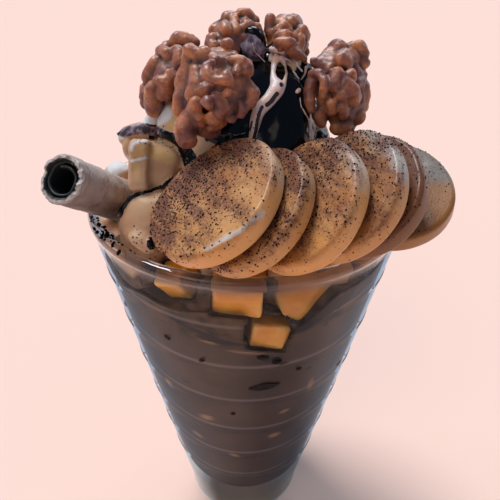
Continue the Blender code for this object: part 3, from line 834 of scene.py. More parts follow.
# Where dark sauce lies: centre, half sizes, strength
SAUCE = [
    ((4, -17, 27), (13, 10, 14), 1.0), ((9, -18, 16), (20, 11, 5.4), 1.0), ((2.5, -7, 41), (8, 8, 5), 1.0),
    ((-10, -11, 18), (4, 6, 6), 1.0), ((14, -9, 30), (6, 7, 8), 0.9), ((23, -15, 20.5), (7, 6, 4), 0.9),
    ((1, 4, 36), (19, 15, 11), 1.0), ((-8, 6, 25), (3.4, 10, 7), 0.9), ((0, 10, 24), (2.4, 9, 10), 0.9),
    ((9, 7, 22), (3.6, 9, 12), 0.9), ((14, 2, 26), (3.0, 8, 6), 0.9),
]
# Brush strokes seen from the eye: nearest and farthest depth behind the rim's centre, half width, picture points
SAUCE_STROKES = [
    # The first runs in the crease between two folds and stands for sauce and for painted shade in it
    (-40, -12, 1.6, (121, 216), (124, 208), (131, 199), (140, 194), (150, 191.5), (164, 185.5), (172, 178)),
    (-26, 8, 4.0, (152, 134), (162, 133), (174, 138), (185, 147), (190, 157)),
    (-15, 8, 3.6, (120, 132), (130, 129.5), (142, 127), (154, 128)),
    (-40, -30, 3.0, (150, 241), (151, 246)), (-30, 0, 7.0, (186, 150), (190, 160)),
    (-15, 0, 3.0, (167, 127), (170, 129)),
]
# Thin sauce, paler and bluer with painted reflection of the sky
THIN_SAUCE_AND_REFLECTION_STROKES = [
    (-30, 4, 11, (250, 44), (256, 52)), (-15, 8, 5.0, (124, 132), (140, 128), (156, 131)),
    (-30, 4, 5, (268, 52), (276, 48), (284, 52)),
]
SPECKLE_STROKES = [
    (-26, 6, 5.0, (138, 141), (150, 140), (162, 143), (174, 151)), (-26, 6, 4.0, (126, 133), (146, 129)),
    (-45, -26, 8.0, (132, 234), (142, 243), (152, 252)), (-40, -20, 5.0, (158, 196), (156, 206), (152, 224)),
]
# Painted warm light on some folds of the cream
WARM_LIGHT_STROKES = [
    (-30, -14, 7.0, (136, 151), (150, 152), (168, 157)), (-20, 6, 5.0, (170, 98), (171, 126)),
    (-30, -14, 3.0, (136, 164), (137, 178)),
]
# Pale cream, and painted highlights along some edges of the folds
PALE_AND_HIGHLIGHT_STROKES = [
    (-30, -14, 1.2, (131, 161), (147, 157.5)), (-36, -20, 1.6, (133, 197), (141, 194)),
    (-10, 14, 7.0, (114, 168), (130, 162)), (-20, 6, 9.0, (149, 123), (163, 113)),
    (-30, -12, 1.6, (131, 150), (133, 144), (140, 141), (148, 140)),
    (-30, 4, 4.0, (239, 38), (243, 44)), (-10, 8, 3.0, (119, 134), (121, 137)),
]
SAUCE_DEPTH = 0.7 * MM


def look_through(u, v):
    """The direction from the eye through a point of the picture."""
    seen = Vector(((u - PICTURE / 2) / FOCAL, (PICTURE / 2 - v) / FOCAL, -1))
    return (EYE_TURN @ seen).normalized()


def in_view(u, v, depth):
    """The place that shows at a picture point and lies depth millimetres behind the rim's centre."""
    way = look_through(u, v)
    return EYE + way * ((depth * MM - EYE.y) / way.y)


def seen_at(rows):
    """The picture point of each row, across and down."""
    local = (rows * MM + np.array(RIM - EYE)) @ np.array(EYE_TURN)
    return PICTURE / 2 - FOCAL * local[:, 0] / local[:, 2], PICTURE / 2 + FOCAL * local[:, 1] / local[:, 2]


def ragged_edge(rows):
    """How much further or less far a painted edge reaches at each row."""
    return 0.22 * grain(rows, 0.22) + 0.10 * grain(rows, 0.7)


def strokes(rows, table):
    """How strongly each row lies on brush strokes seen from the eye: 1 on a stroke, 0 beside it."""
    across, down = seen_at(rows)
    ragged = ragged_edge(rows)
    total = np.zeros(len(rows))
    for near, far, half_width, *spots in table:
        gap = np.full(len(rows), 1e6)
        for (u, v), (next_u, next_v) in zip(spots, spots[1:]):
            run, fall = next_u - u, next_v - v
            share = ((across - u) * run + (down - v) * fall) / (run * run + fall * fall)
            share = np.clip(share, 0, 1)
            gap = np.minimum(gap, np.hypot(across - u - share * run, down - v - share * fall))
        within = (rows[:, 1] > near) & (rows[:, 1] < far)
        total = np.maximum(total, within * (1.15 + ragged - gap / half_width) / 0.35)
    return np.clip(total, 0, 1)


def block_reach(way, squareness):
    """How far out a direction meets a block of half size 1: round, or boxier with more squareness."""
    return sum(abs(part) ** squareness for part in way) ** (-1 / squareness)


def add_block(shape, spot, depth, half_size, thick, turn, squareness):
    """A rounded block whose face looks at the eye."""
    face = in_view(*spot, depth)
    scale = (face - EYE).length / FOCAL
    sizes = (half_size[0] * scale, half_size[1] * scale, thick * MM)
    centre = face + (face - EYE).normalized() * thick * MM
    turned_to = EYE_TURN @ Matrix.Rotation(math.radians(turn), 3, "Z")
    for vertex in bmesh.ops.create_icosphere(shape, subdivisions=5, radius=1)["verts"]:
        way = vertex.co
        reach = block_reach(way, squareness)
        vertex.co = centre + turned_to @ Vector([way[i] * reach * sizes[i] for i in range(3)])


def add_lump(shape, centre, half_sizes, turn, squareness):
    """A rounded lump: an ellipsoid, or boxier with more squareness, turned about Z."""
    made = bmesh.ops.create_icosphere(shape, subdivisions=5, radius=1)["verts"]
    place = Matrix.Translation(rim_point(centre)) @ Matrix.Rotation(math.radians(turn), 4, "Z")
    for vertex in made:
        way = vertex.co
        reach = block_reach(way, squareness)
        vertex.co = place @ Vector([way[i] * reach * half_sizes[i] * MM for i in range(3)])


def add_peak(shape):
    """The tall middle: a blunt cone with twisted flutes and a rounded tip."""
    levels, sides = 44, 90
    loops = []
    for level in range(levels + 1):
        rise = level / levels
        centre = rim_point(PEAK_FOOT).lerp(rim_point(PEAK_TIP), rise)
        radius = (PEAK_TIP_RADIUS + (PEAK_FOOT_RADIUS - PEAK_TIP_RADIUS) * (1 - rise ** PEAK_ROUNDING)) * MM
        if rise > PEAK_SHOULDER:
            radius *= math.sqrt(max(1 - ((rise - PEAK_SHOULDER) / PEAK_CROWN) ** 2, 0.02))
        loop = []
        for side in range(sides):
            angle = 2 * math.pi * side / sides
            swell = 1 + PEAK_FLUTE_DEPTH * math.cos(PEAK_FLUTES * (angle - PEAK_TWIST * rise))
            loop.append(shape.verts.new(centre + Vector((math.cos(angle), math.sin(angle), 0)) * radius * swell))
        loops.append(loop)
    for lower, upper in zip(loops, loops[1:]):
        for side in range(sides):
            after = (side + 1) % sides
            shape.faces.new((lower[side], lower[after], upper[after], upper[side]))
    shape.faces.new(list(reversed(loops[0])))
    shape.faces.new(loops[-1])


def areas(rows, table):
    """How deep each row lies in the table's soft-edged ellipsoids: 1 well inside, 0 outside."""
    ragged = ragged_edge(rows)
    deepest = np.zeros(len(rows))
    for centre, half_sizes, strength in table:
        far = np.linalg.norm((rows - np.array(centre)) / np.array(half_sizes), axis=1)
        deepest = np.maximum(deepest, strength * (1.15 + ragged - far) / 0.3)
    return np.clip(deepest, 0, 1)


def keep_in_glass(rows, touch):
    """Below the lip, presses the points that pass the wall flat against it."""
    lip = RIM.z - 2 * LIP_RADIUS
    for row in rows:
        across = math.hypot(row[0], row[1])
        if row[2] < 0 and across:
            reach = inner_radius(min(RIM.z + row[2] * MM, lip)) / MM + touch
            if across > reach:
                row[:2] *= reach / across
    return rows


def make_cream():
    shape = bmesh.new()
    for measures in CREAM_LUMPS.values():
        add_lump(shape, *measures)
    for measures in CREAM_BLOCKS:
        add_block(shape, *measures)
    add_peak(shape)
    below = bmesh.ops.bisect_plane(
        shape, geom=shape.verts[:] + shape.edges[:] + shape.faces[:], dist=0.01 * MM,
        plane_co=(0, 0, DRINK_TOP - 6 * MM), plane_no=(0, 0, 1), clear_inner=True,
    )
    cut_edges = [part for part in below["geom_cut"] if isinstance(part, bmesh.types.BMEdge)]
    bmesh.ops.holes_fill(shape, edges=cut_edges)
    mesh = melt("whipped_cream", shape, CREAM_GRAIN, 5)
    shift_points(mesh, lambda point, normal: 0.6 * MM * noise.noise(point / MM * 0.10)
                 + 0.35 * MM * noise.noise(point / MM * 0.28) + 0.07 * MM * noise.noise(point / MM * 1.1))
    rows = points_of(mesh)
    normals = np.empty(len(mesh.vertices) * 3)
    mesh.vertices.foreach_get("normal", normals)
    normals = normals.reshape(-1, 3)
    way = np.array(EYE - RIM) / MM - rows
    front = np.clip(0.5 + 3 * (normals * way).sum(axis=1) / np.linalg.norm(way, axis=1), 0, 1)
    thin = strokes(rows, THIN_SAUCE_AND_REFLECTION_STROKES) * front
    sauce = np.maximum(areas(rows, SAUCE), strokes(rows, SAUCE_STROKES) * front) * (1 - thin)
    paint_all(mesh, "sauce", sauce)
    paint_all(mesh, "thin", thin)
    paint_all(mesh, "speckled", strokes(rows, SPECKLE_STROKES) * front)
    # Painted warm light
    paint_all(mesh, "golden", strokes(rows, WARM_LIGHT_STROKES) * front)
    # Pale cream and painted highlights
    paint_all(mesh, "pale", strokes(rows, PALE_AND_HIGHLIGHT_STROKES) * front)
    paint_all(mesh, "froth", 0.5 - (rows[:, 2] + 4 + 5 * np.clip(-(rows[:, 0] + 24) / 6, 0, 1)) / 5)
    paint_relief(mesh, 20, 0.6 * MM)
    rows += (sauce * SAUCE_DEPTH / MM)[:, None] * normals
    set_points(mesh, make_room(keep_in_glass(rows, 0.2), 0.2))
    return mesh


def cream_and_sauce():
    """Tan cream with painted warm light in some folds and painted highlights on its ridges, and glossy near-black
    sauce where it is poured.
    """
    finish, tree, shader = new_finish(
        "cream_and_sauce", Subsurface_Weight=0.2, Subsurface_Radius=(4.0, 2.2, 1.2), Subsurface_Scale=MM,
        Specular_IOR_Level=0.22,
    )
    place = object_place(tree)
    cream = blend_colour(tree, use_group(tree, CLOUDS, Place=place, Scale=0.09, Low=0.35, High=0.65),
                         (0.48, 0.265, 0.140, 1), (0.60, 0.385, 0.225, 1))
    # Painted warm light, yellower
    golden = combine(tree, "MULTIPLY", read_attribute(tree, "golden"), 0.75)
    cream = blend_colour(tree, golden, cream, (0.62, 0.39, 0.15, 1))
    # Painted highlight, paler on the cream's ridges
    ridge_highlight = stretch(tree, read_attribute(tree, "relief"), 0.55, 0.85)
    cream = blend_colour(tree, combine(tree, "MULTIPLY", ridge_highlight, 0.25), cream, (0.72, 0.54, 0.38, 1))
    # Pale cream and painted highlights
    cream = blend_colour(tree, read_attribute(tree, "pale"), cream, (0.72, 0.72, 0.70, 1))
    froth = stretch(tree, read_attribute(tree, "froth"), 0.45, 0.9)
    brown = blend_colour(tree, use_group(tree, CLOUDS, Place=place, Scale=0.25, Low=0.38, High=0.62),
                         (0.014, 0.006, 0.003, 1), (0.12, 0.050, 0.018, 1))
    cream = blend_colour(tree, froth, cream, brown)
    # Thin sauce with painted reflection: purple-grey
    thin = stretch(tree, read_attribute(tree, "thin"), 0.1, 0.7)
    thin_sauce_and_reflection = blend_colour(tree, use_group(tree, CLOUDS, Place=place, Scale=0.5, Low=0.40, High=0.60),
                        (0.070, 0.045, 0.060, 1), (0.42, 0.34, 0.42, 1))
    cream = blend_colour(tree, thin, cream, thin_sauce_and_reflection)
    amount = stretch(tree, read_attribute(tree, "speckled"), 0.0, 1.0, 0.0, 0.8)
    specks = use_group(tree, DOTS, Place=place, Scale=1.3, Size=0.40, Amount=amount)
    cream = blend_colour(tree, specks, cream, (0.030, 0.012, 0.010, 1))
    edge = combine(tree, "ADD", read_attribute(tree, "sauce"),
                   use_group(tree, CLOUDS, Place=place, Scale=1.1, Low=0.3, High=2.2))
    sauce = stretch(tree, edge, 0.34, 0.44)
    colour = blend_colour(tree, sauce, cream, (0.0022, 0.0018, 0.0022, 1))
    tree.links.new(colour, shader.inputs["Base Color"])
    tree.links.new(stretch(tree, sauce, 0, 1, 0.45, 0.16), shader.inputs["Roughness"])
    return finish


CREAM_MESH = make_cream()
add_piece("whipped_cream", CREAM_MESH, cream_and_sauce(), "whipped_cream", "cream")


# ---- The curl and the thin edges of cream ----
# Cream that the sauce has not covered: a curl with dark marks down it that runs down the peak's front, a thin
# edge beside it and short streaks round the top, each laid on the cream as seen from the eye. The thin edge, the
# thin line under a walnut and some of the short streaks are pale strands put where the sauce shows highlights:
# painted highlights.
CURL_GRAIN = 0.25 * MM
# How far behind the rim's centre a spot lies whose line of sight misses the cream
MISSED_DEPTH = -14
# Chains: how far they stand in front of the cream, then places and radii in the picture
CURL_CHAINS = [
    (0.5, (276, 58, 4.0), (274, 65, 3.0), (273, 73, 2.4), (274, 80, 4.0), (277, 86, 7), (275, 92, 7.5),
     (270, 99, 7), (264, 105, 7), (259, 111, 6.5), (256, 118, 6), (254, 125, 5), (253, 132, 4), (251, 139, 3)),
    (0.5, (281, 58, 3.2), (285, 65, 1.5), (286.5, 73, 1.4), (285, 80, 2.0), (282, 86, 4), (278, 91, 6)),
    (0.4, (299, 90, 2.4), (297, 92, 2.0)),
    (0.3, (300, 98, 0.9), (301, 106, 0.9), (305, 113, 1.1), (309, 121, 1.2), (310, 129, 1.1), (309, 136, 0.8)),
    (0.3, (228, 133, 0.7), (236, 135.4, 0.8), (246, 132.5, 0.7)),
    (0.4, (271, 49, 2.6), (277, 50, 3.0), (283, 52, 2.0)), (0.4, (272, 56, 3.0), (270, 60, 2.0)),
    (0.3, (284, 57, 0.9), (291, 62, 1.2)), (0.3, (289, 55, 0.6), (298, 64, 1.0)),
    (0.3, (296, 64, 1.0), (302, 71, 1.3)), (0.3, (293, 71, 1.1), (296, 75, 1.3), (299, 79, 1.0)),
    (0.4, (301, 80, 1.0), (305, 74, 1.4), (306, 67, 1.6)), (0.3, (252, 43, 0.9), (255, 52, 0.8), (265, 62, 1.0)),
    (0.3, (256, 139, 0.8), (258, 131, 0.8), (261, 122, 0.8), (263, 114, 0.7)),
]
# Dark marks painted along the curl
CURL_MARKS = [
    (-60, 20, 1.6, (262, 107), (259, 114), (257, 122), (256, 130), (254, 138)),
    (-60, 20, 1.6, (281, 84), (281.5, 85)),
    (-60, 20, 2.0, (277, 94), (275, 96), (272, 101), (267, 105)), (-60, 20, 1.0, (252, 122), (250, 130)),
]


def laid_on(mesh):
    """A function that gives the place on the mesh that shows at a picture point."""
    skin = BVHTree.FromPolygons([v.co for v in mesh.vertices], [tuple(face.vertices) for face in mesh.polygons])

    def place(u, v):
        hit = skin.ray_cast(EYE, look_through(u, v))[0]
        return hit or in_view(u, v, MISSED_DEPTH)

    return place


def chains(shape, table, place):
    """Lays chains of balls from the table where place says."""
    for stands, *spots in table:
        chain = []
        for u, v, radius in spots:
            spot = place(u, v)
            spot += (EYE - spot).normalized() * stands * MM
            chain.append(Vector((*spot, radius * (spot - EYE).length / FOCAL)))
        add_balls(shape, chain)


def add_balls(shape, spots):
    """A chain of overlapping balls that swell evenly from spot to spot (place and radius as one 4-vector)."""
    for start, end in zip(spots, spots[1:] or spots):
        apart = (end.xyz - start.xyz).length
        steps = max(int(apart / (0.4 * min(start.w, end.w))), 1)
        for step in range(steps + 1):
            ball = start.lerp(end, step / steps)
            bmesh.ops.create_icosphere(shape, subdivisions=2, radius=ball.w, matrix=Matrix.Translation(ball.xyz))


def make_curl():
    shape = bmesh.new()
    chains(shape, CURL_CHAINS, laid_on(CREAM_MESH))
    mesh = melt("cream_curl", shape, CURL_GRAIN, 3)
    paint_all(mesh, "marks", strokes(points_of(mesh), CURL_MARKS))
    return mesh


def fresh_cream():
    """Cream that is nearly white, pinkish where it is thin, with specks of sauce on it."""
    finish, tree, shader = new_finish(
        "fresh_cream", Roughness=0.4, Subsurface_Weight=0.3, Subsurface_Radius=(4.0, 2.2, 1.4),
        Subsurface_Scale=MM,
    )
    place = object_place(tree)
    colour = blend_colour(tree, use_group(tree, CLOUDS, Place=place, Scale=0.3, Low=0.4, High=0.6),
                          (0.86, 0.52, 0.38, 1), (0.88, 0.70, 0.68, 1))
    specks = use_group(tree, DOTS, Place=place, Scale=1.6, Size=0.34, Amount=0.10)
    ragged = combine(tree, "ADD", read_attribute(tree, "marks"),
                     use_group(tree, CLOUDS, Place=place, Scale=1.6, Low=0.35, High=1.4))
    dark = combine(tree, "MAXIMUM", specks, stretch(tree, ragged, 0.45, 0.62))
    colour = blend_colour(tree, dark, colour, (0.035, 0.014, 0.014, 1))
    tree.links.new(colour, shader.inputs["Base Color"])
    return finish


add_piece("cream_curl", make_curl(), fresh_cream(), "whipped_cream")


# ---- The fan of banana slices ----
# Six fresh slices cut straight across a peeled banana, leaning on each other like shingles over the rim. Cocoa is
# dusted on their upper faces, heaviest at the left. The moist flesh has a painted orange glow where light comes
# through, pale painted highlights on its right-hand edges, and painted shade on the slices that lie in shade.
SLICE_THICKNESS = 5.0 * MM
SLICE_EDGE = 1.1 * MM
SLICE_UNEVEN = 0.02
# How far apart the slices' patterns are taken, so that no two look alike
PATTERN_STEP = 40
# Centre of the upper face, bearing and lean of the face in degrees, radius, how much cocoa, how far it spreads,
# how dark with painted shade, how strong the painted highlight on the wet edges is
FAN = [
    ((-7.8, -39.3, 18.2), -152.6, 35.6, 15.4, 1.00, 0.95, 0.00, 0.30),
    ((-0.7, -38.0, 15.0), -157.3, 41.5, 15.2, 1.00, 1.35, 0.15, 0.25),
    ((10.1, -37.3, 15.8), -157.2, 48.3, 15.5, 1.00, 1.00, 0.00, 0.60),
    ((18.5, -34.1, 16.6), -154.3, 46.4, 15.5, 0.90, 1.15, 0.25, 1.00),
    ((24.3, -29.9, 14.6), -149.6, 42.7, 15.3, 0.75, 1.30, 0.95, 0.30),
    ((33.8, -22.1, 11.5), -121.5, 26.6, 15.4, 0.50, 1.00, 0.70, 0.40),
]
DUSTED_TOWARDS = Vector((-0.75, 0.27, 0.60))
HIGHLIGHT_TOWARDS = Vector((0.80, 0.20, 0.57))
PAINTED_GLOW_AWAY_FROM = Vector((-0.25, 0.1, 0.96))
COOL_SHADE_TOWARDS = Vector((-0.05, 0.65, 0.76))
# Painted highlight streaks on the wet edges, laid on as the sauce strokes are
HIGHLIGHT_STREAKS = [(-60, -20, 2.6, (206, 249), (222, 240), (240, 231), (252, 221), (262, 212))]


def slice_place(centre, bearing, lean):
    bearing, lean = math.radians(bearing), math.radians(lean)
    face = Vector((math.cos(bearing) * math.sin(lean), math.sin(bearing) * math.sin(lean), math.cos(lean)))
    return Matrix.Translation(rim_point(centre)) @ facing(face, Vector((0, 0, 1)).cross(face))


def make_slice(number, centre, bearing, lean, radius, cocoa, spread, painted_shade, highlight_strength):
    """A round a little three-sided, like the fruit, with a dished, faintly dented face."""
    name = f"banana_slice_{number}"
    mesh = turned(name, slice_profile(radius * MM, SLICE_THICKNESS, SLICE_EDGE), 120)
    flat = mesh.attributes.new("flat", "FLOAT_VECTOR", "POINT")
    places = []
    for vertex in mesh.vertices:
        x, y, z = vertex.co
        angle = math.atan2(y, x)
        seam = noise.noise(Vector((math.cos(angle) * 2.2, math.sin(angle) * 2.2, number * 4.7)))
        uneven = 1 + SLICE_UNEVEN * math.cos(3 * angle + 0.6) + 0.012 * seam
        places += [x / MM, y / MM, z / MM + number * PATTERN_STEP]
        out = math.hypot(x, y) / (radius * MM)
        dish = -0.30 * MM * (1 - out * out) if z > -SLICE_EDGE and out < 0.93 else 0
        dent = 0.22 * MM * noise.noise(Vector((x / MM * 0.22, y / MM * 0.22, number * 9.1)))
        vertex.co = (x * uneven, y * uneven, z + dish + dent * min(1, 8 * (1 - out)))
    flat.data.foreach_set("vector", places)
    place = slice_place(centre, bearing, lean)
    mesh.transform(place)
    mesh.update()
    middle = place.translation
    face = (place.to_3x3() @ Vector((0, 0, 1))).normalized()

    def off_middle(point):
        return (point - middle) / (radius * MM)

    def dust(point):
        away = off_middle(point)
        over = away.dot(DUSTED_TOWARDS)
        upper = 1 if away.dot(face) > -0.10 else 0.25
        return cocoa * upper * min(max((over + spread + 0.4 * noise.noise(away * 2.6)) / 1.1, 0.06), 1)

    # Painted glow of light through the flesh, stronger towards the lower part of the face
    def glow(point):
        return 0.30 - 0.75 * off_middle(point).dot(PAINTED_GLOW_AWAY_FROM)

    # Painted highlight on the edges that face the upper right
    def painted_highlight(point):
        away = off_middle(point)
        away -= face * away.dot(face)
        over = away.dot((HIGHLIGHT_TOWARDS - face * HIGHLIGHT_TOWARDS.dot(face)).normalized())
        return highlight_strength * min(max((over + 0.10 * noise.noise(point / MM * 0.35) - 0.68) / 0.2, 0), 1)

    # Painted cool grey shade on the last slice's face
    def painted_cool_shade(point):
        return 0 if number < len(FAN) else (off_middle(point).dot(COOL_SHADE_TOWARDS) + 0.08) / 0.25

    paint(mesh, "dust", dust)
    paint(mesh, "glow", glow)
    highlight_amount = np.array([painted_highlight(vertex.co) for vertex in mesh.vertices])
    rows = points_of(mesh)
    streaks = strokes(rows, HIGHLIGHT_STREAKS) * (0.75 + 0.5 * grain(rows, 0.9)) * (rows[:, 0] < 14)
    paint_all(mesh, "painted_highlight", np.maximum(highlight_amount, streaks))
    paint(mesh, "painted_cool_shade", painted_cool_shade)
    # Painted shade, the same over the whole slice
    paint(mesh, "painted_shade", lambda point: painted_shade)
    paint(mesh, "side", lambda point: (-(point - middle).dot(face) / MM - 0.35) / 1.0)
    return mesh


def add_noise(tree, place, scale, detail):
    values = {"Vector": place, "Scale": scale, "Detail": detail}
    return add_node(tree, "ShaderNodeTexNoise", None, values).outputs["Fac"]


def roughen(tree, shader, height, strength, distance):
    """Raises the surface finely where height is high."""
    bump = add_node(tree, "ShaderNodeBump", None, {"Strength": strength, "Distance": distance, "Height": height})
    tree.links.new(bump.outputs[0], shader.inputs["Normal"])


def banana_flesh():
    finish, tree, shader = new_finish(
        "banana_flesh", Coat_Weight=0.22, Coat_Roughness=0.2, Subsurface_Weight=0.22,
        Subsurface_Radius=(4.0, 1.8, 0.7), Subsurface_Scale=MM, Specular_IOR_Level=0.22,
    )
    flat = add_node(tree, "ShaderNodeAttribute", {"attribute_name": "flat"}).outputs["Vector"]
    mask = use_group(tree, CLOUDS, Place=flat, Scale=0.13, Low=0.36, High=0.64)
    colour = blend_colour(tree, mask, (0.54, 0.225, 0.070, 1), (0.68, 0.365, 0.155, 1))
    # Painted orange glow where light comes through
    glow = stretch(tree, read_attribute(tree, "glow"), 0.25, 0.95)
    colour = blend_colour(tree, glow, colour, (0.70, 0.31, 0.065, 1))
    side = stretch(tree, read_attribute(tree, "side"), 0.2, 0.8, 0.0, 0.85)
    colour = blend_colour(tree, side, colour, (0.76, 0.38, 0.130, 1))
    # Painted highlight, pale grey, on the edges and streaks
    painted_highlight = stretch(tree, read_attribute(tree, "painted_highlight"), 0.1, 0.9, 0.0, 0.85)
    colour = blend_colour(tree, painted_highlight, colour, (0.60, 0.59, 0.55, 1))
    # Painted shade: darkens the slices that lie in shade
    colour = blend_colour(tree, read_attribute(tree, "painted_shade"), colour, (0.24, 0.17, 0.10, 1), "MULTIPLY")
    # Painted cool grey shade
    painted_cool_shade = stretch(tree, read_attribute(tree, "painted_cool_shade"), 0.1, 0.9, 0.0, 0.9)
    colour = blend_colour(tree, painted_cool_shade, colour, (0.20, 0.20, 0.175, 1))
    dust = read_attribute(tree, "dust")
    drawn_out = {"Vector": flat, "Rotation": (0, 0, 0.9), "Scale": (0.16, 0.55, 0.3)}
    streaks = add_node(tree, "ShaderNodeMapping", None, drawn_out).outputs[0]
    streak = use_group(tree, CLOUDS, Place=streaks, Scale=0.8, Low=0.38, High=0.62)
    heavy = combine(tree, "MULTIPLY", dust, stretch(tree, streak, 0, 1, 0.38, 1.0))
    powder = use_group(tree, CLOUDS, Place=flat, Scale=1.4, Low=0.36, High=0.60)
    haze = combine(tree, "MULTIPLY", heavy, stretch(tree, powder, 0, 1, 0.55, 1.0))
    colour = blend_colour(tree, stretch(tree, haze, 0.06, 0.60, 0.0, 0.92), colour, (0.155, 0.052, 0.030, 1))
    amount = stretch(tree, heavy, 0.0, 0.6, 0.05, 0.9)
    fine = use_group(tree, DOTS, Place=flat, Scale=2.2, Size=0.42, Amount=amount)
    colour = blend_colour(tree, combine(tree, "MULTIPLY", fine, 0.75), colour, (0.055, 0.018, 0.014, 1))
    amount = combine(tree, "MULTIPLY", heavy, 0.7)
    coarse = use_group(tree, DOTS, Place=flat, Scale=0.95, Size=0.36, Amount=amount)
    colour = blend_colour(tree, coarse, colour, (0.014, 0.006, 0.006, 1))
    tree.links.new(colour, shader.inputs["Base Color"])
    tree.links.new(stretch(tree, heavy, 0, 0.8, 0.34, 0.62), shader.inputs["Roughness"])
    roughen(tree, shader, add_noise(tree, flat, 1.6, 4.0), 0.35, 0.25 * MM)
    return finish


BANANA_FLESH = banana_flesh()
slices = []
for number, measures in enumerate(FAN, start=1):
    mesh = make_slice(number, *measures)
    slices.append(add_piece(mesh.name, mesh, BANANA_FLESH, "banana", f"banana_{number}"))


# ---- Cocoa grains on the slices ----
# Coarse cocoa that has not melted in: tiny dark crumbs that stick to the moist faces where the dust is thickest.
GRAIN_SMALLEST, GRAIN_LARGEST = 0.08 * MM, 0.27 * MM
GRAIN_DENSITY = 2.4 / MM ** 2


def scatter(name, base, density_name, density, smallest, largest, seed, finish):
    """Scatters uneven crumbs over a mesh, as thick as its painted density says, and gives back a plain mesh."""
    tree = bpy.data.node_groups.new(name, "GeometryNodeTree")
    tree.interface.new_socket("Geometry", in_out="OUTPUT", socket_type="NodeSocketGeometry")
    tree.interface.new_socket("Geometry", in_out="INPUT", socket_type="NodeSocketGeometry")
    sockets = {}
    for title in ("Density", "Smallest", "Largest"):
        made = tree.interface.new_socket(title, in_out="INPUT", socket_type="NodeSocketFloat")
        sockets[title] = made.identifier
    start, end = tree.nodes.new("NodeGroupInput"), tree.nodes.new("NodeGroupOutput")
    painted = add_node(tree, "GeometryNodeInputNamedAttribute", {"data_type": "FLOAT"}, {"Name": density_name})
    steep = combine(tree, "POWER", painted.outputs["Attribute"], 2.0)
    thick = combine(tree, "MULTIPLY", steep, start.outputs["Density"])
    spread = add_node(tree, "GeometryNodeDistributePointsOnFaces", {"distribute_method": "RANDOM"},
                      {"Mesh": start.outputs["Geometry"], "Density": thick, "Seed": seed})
    crumb = add_node(tree, "GeometryNodeMeshIcoSphere", None, {"Radius": 1.0, "Subdivisions": 1})
    size = add_node(tree, "FunctionNodeRandomValue", {"data_type": "FLOAT"},
                    {2: start.outputs["Smallest"], 3: start.outputs["Largest"], "Seed": seed + 1}).outputs[1]
    shape = add_node(tree, "FunctionNodeRandomValue", {"data_type": "FLOAT_VECTOR"},
                     {0: (0.6, 0.6, 0.5), 1: (1.3, 1.3, 0.9), "Seed": seed + 2}).outputs[0]
    turn = add_node(tree, "FunctionNodeRandomValue", {"data_type": "FLOAT_VECTOR"},
                    {0: (0, 0, 0), 1: (6.3, 6.3, 6.3), "Seed": seed + 3}).outputs[0]
    scale = add_node(tree, "ShaderNodeVectorMath", {"operation": "SCALE"}, {0: shape, "Scale": size}).outputs[0]
    laid = add_node(tree, "GeometryNodeInstanceOnPoints", None,
                    {"Points": spread.outputs["Points"], "Instance": crumb.outputs["Mesh"],
                     "Rotation": turn, "Scale": scale})
    real = add_node(tree, "GeometryNodeRealizeInstances", None, {"Geometry": laid.outputs[0]})
    done = add_node(tree, "GeometryNodeSetMaterial", None, {"Geometry": real.outputs[0], "Material": finish})
    tree.links.new(done.outputs[0], end.inputs["Geometry"])
    item = bpy.data.objects.new(name, base)
    bpy.context.collection.objects.link(item)
    modifier = item.modifiers.new("scatter", "NODES")
    modifier.node_group = tree
    modifier[sockets["Density"]] = density
    modifier[sockets["Smallest"]] = smallest
    modifier[sockets["Largest"]] = largest
    return finished(item, name)


def joined(name, meshes):
    """One mesh from several."""
    shape = bmesh.new()
    for mesh in meshes:
        shape.from_mesh(mesh)
    whole = bpy.data.meshes.new(name)
    shape.to_mesh(whole)
    shape.free()
    return whole


grains = [scatter(f"cocoa_{number}", piece.data.copy(), "dust", GRAIN_DENSITY, GRAIN_SMALLEST, GRAIN_LARGEST,
                  11 + number, DARK_CHOCOLATE) for number, piece in enumerate(slices)]
add_piece("cocoa_grains", joined("cocoa_grains", grains), DARK_CHOCOLATE, "banana")


# ---- The walnut halves ----
# Shelled walnut halves, pressed into the cream: a dome of rounded, brain-like folds in a thin papery skin,
# red-brown, with painted shade darkening the hollows and painted highlights paling the ridges. The main folds of
# each are laid where they show.
WALNUT_GRAIN = 0.32 * MM
# How much of the half sizes the bed fills that the folds in front are laid on
FOLD_BED = 0.66
BACK_FOLDS = 26
GOLDEN_ANGLE = 2.39996
WALNUT_TOP = (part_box("walnut_3")[1].z - RIM.z) / MM
# Centre, the way the dome faces, the way the length runs, half sizes, how much of it the kernel inside fills
WALNUTS = {
    "walnut_1": ((-7.2, -20.8, 33.9), (-0.45, -0.78, 0.42), (0.25, 0.25, 0.93), (10.5, 10.0, 6.2), 0.80),
    "walnut_2": ((-19.3, -4.9, 33.4), (-0.75, -0.15, 0.60), (0.35, 0.55, 0.60), (11.5, 9.5, 6.0), 0.62),
    "walnut_3": ((-4.0, -6.5, 41.5), (-0.25, -0.30, 0.92), (0.15, 0.95, 0.20), (8.5, 6.3, 6.2), 0.70),
    "walnut_4": ((9.0, -4.5, 41.0), (0.35, -0.30, 0.88), (0.10, 0.95, 0.25), (8.5, 6.0, 6.2), 0.82),
    "walnut_5": ((21.5, -10.5, 32.3), (0.62, -0.62, 0.48), (0.25, 0.05, 0.83), (11.5, 9.0, 6.4), 0.88),
}
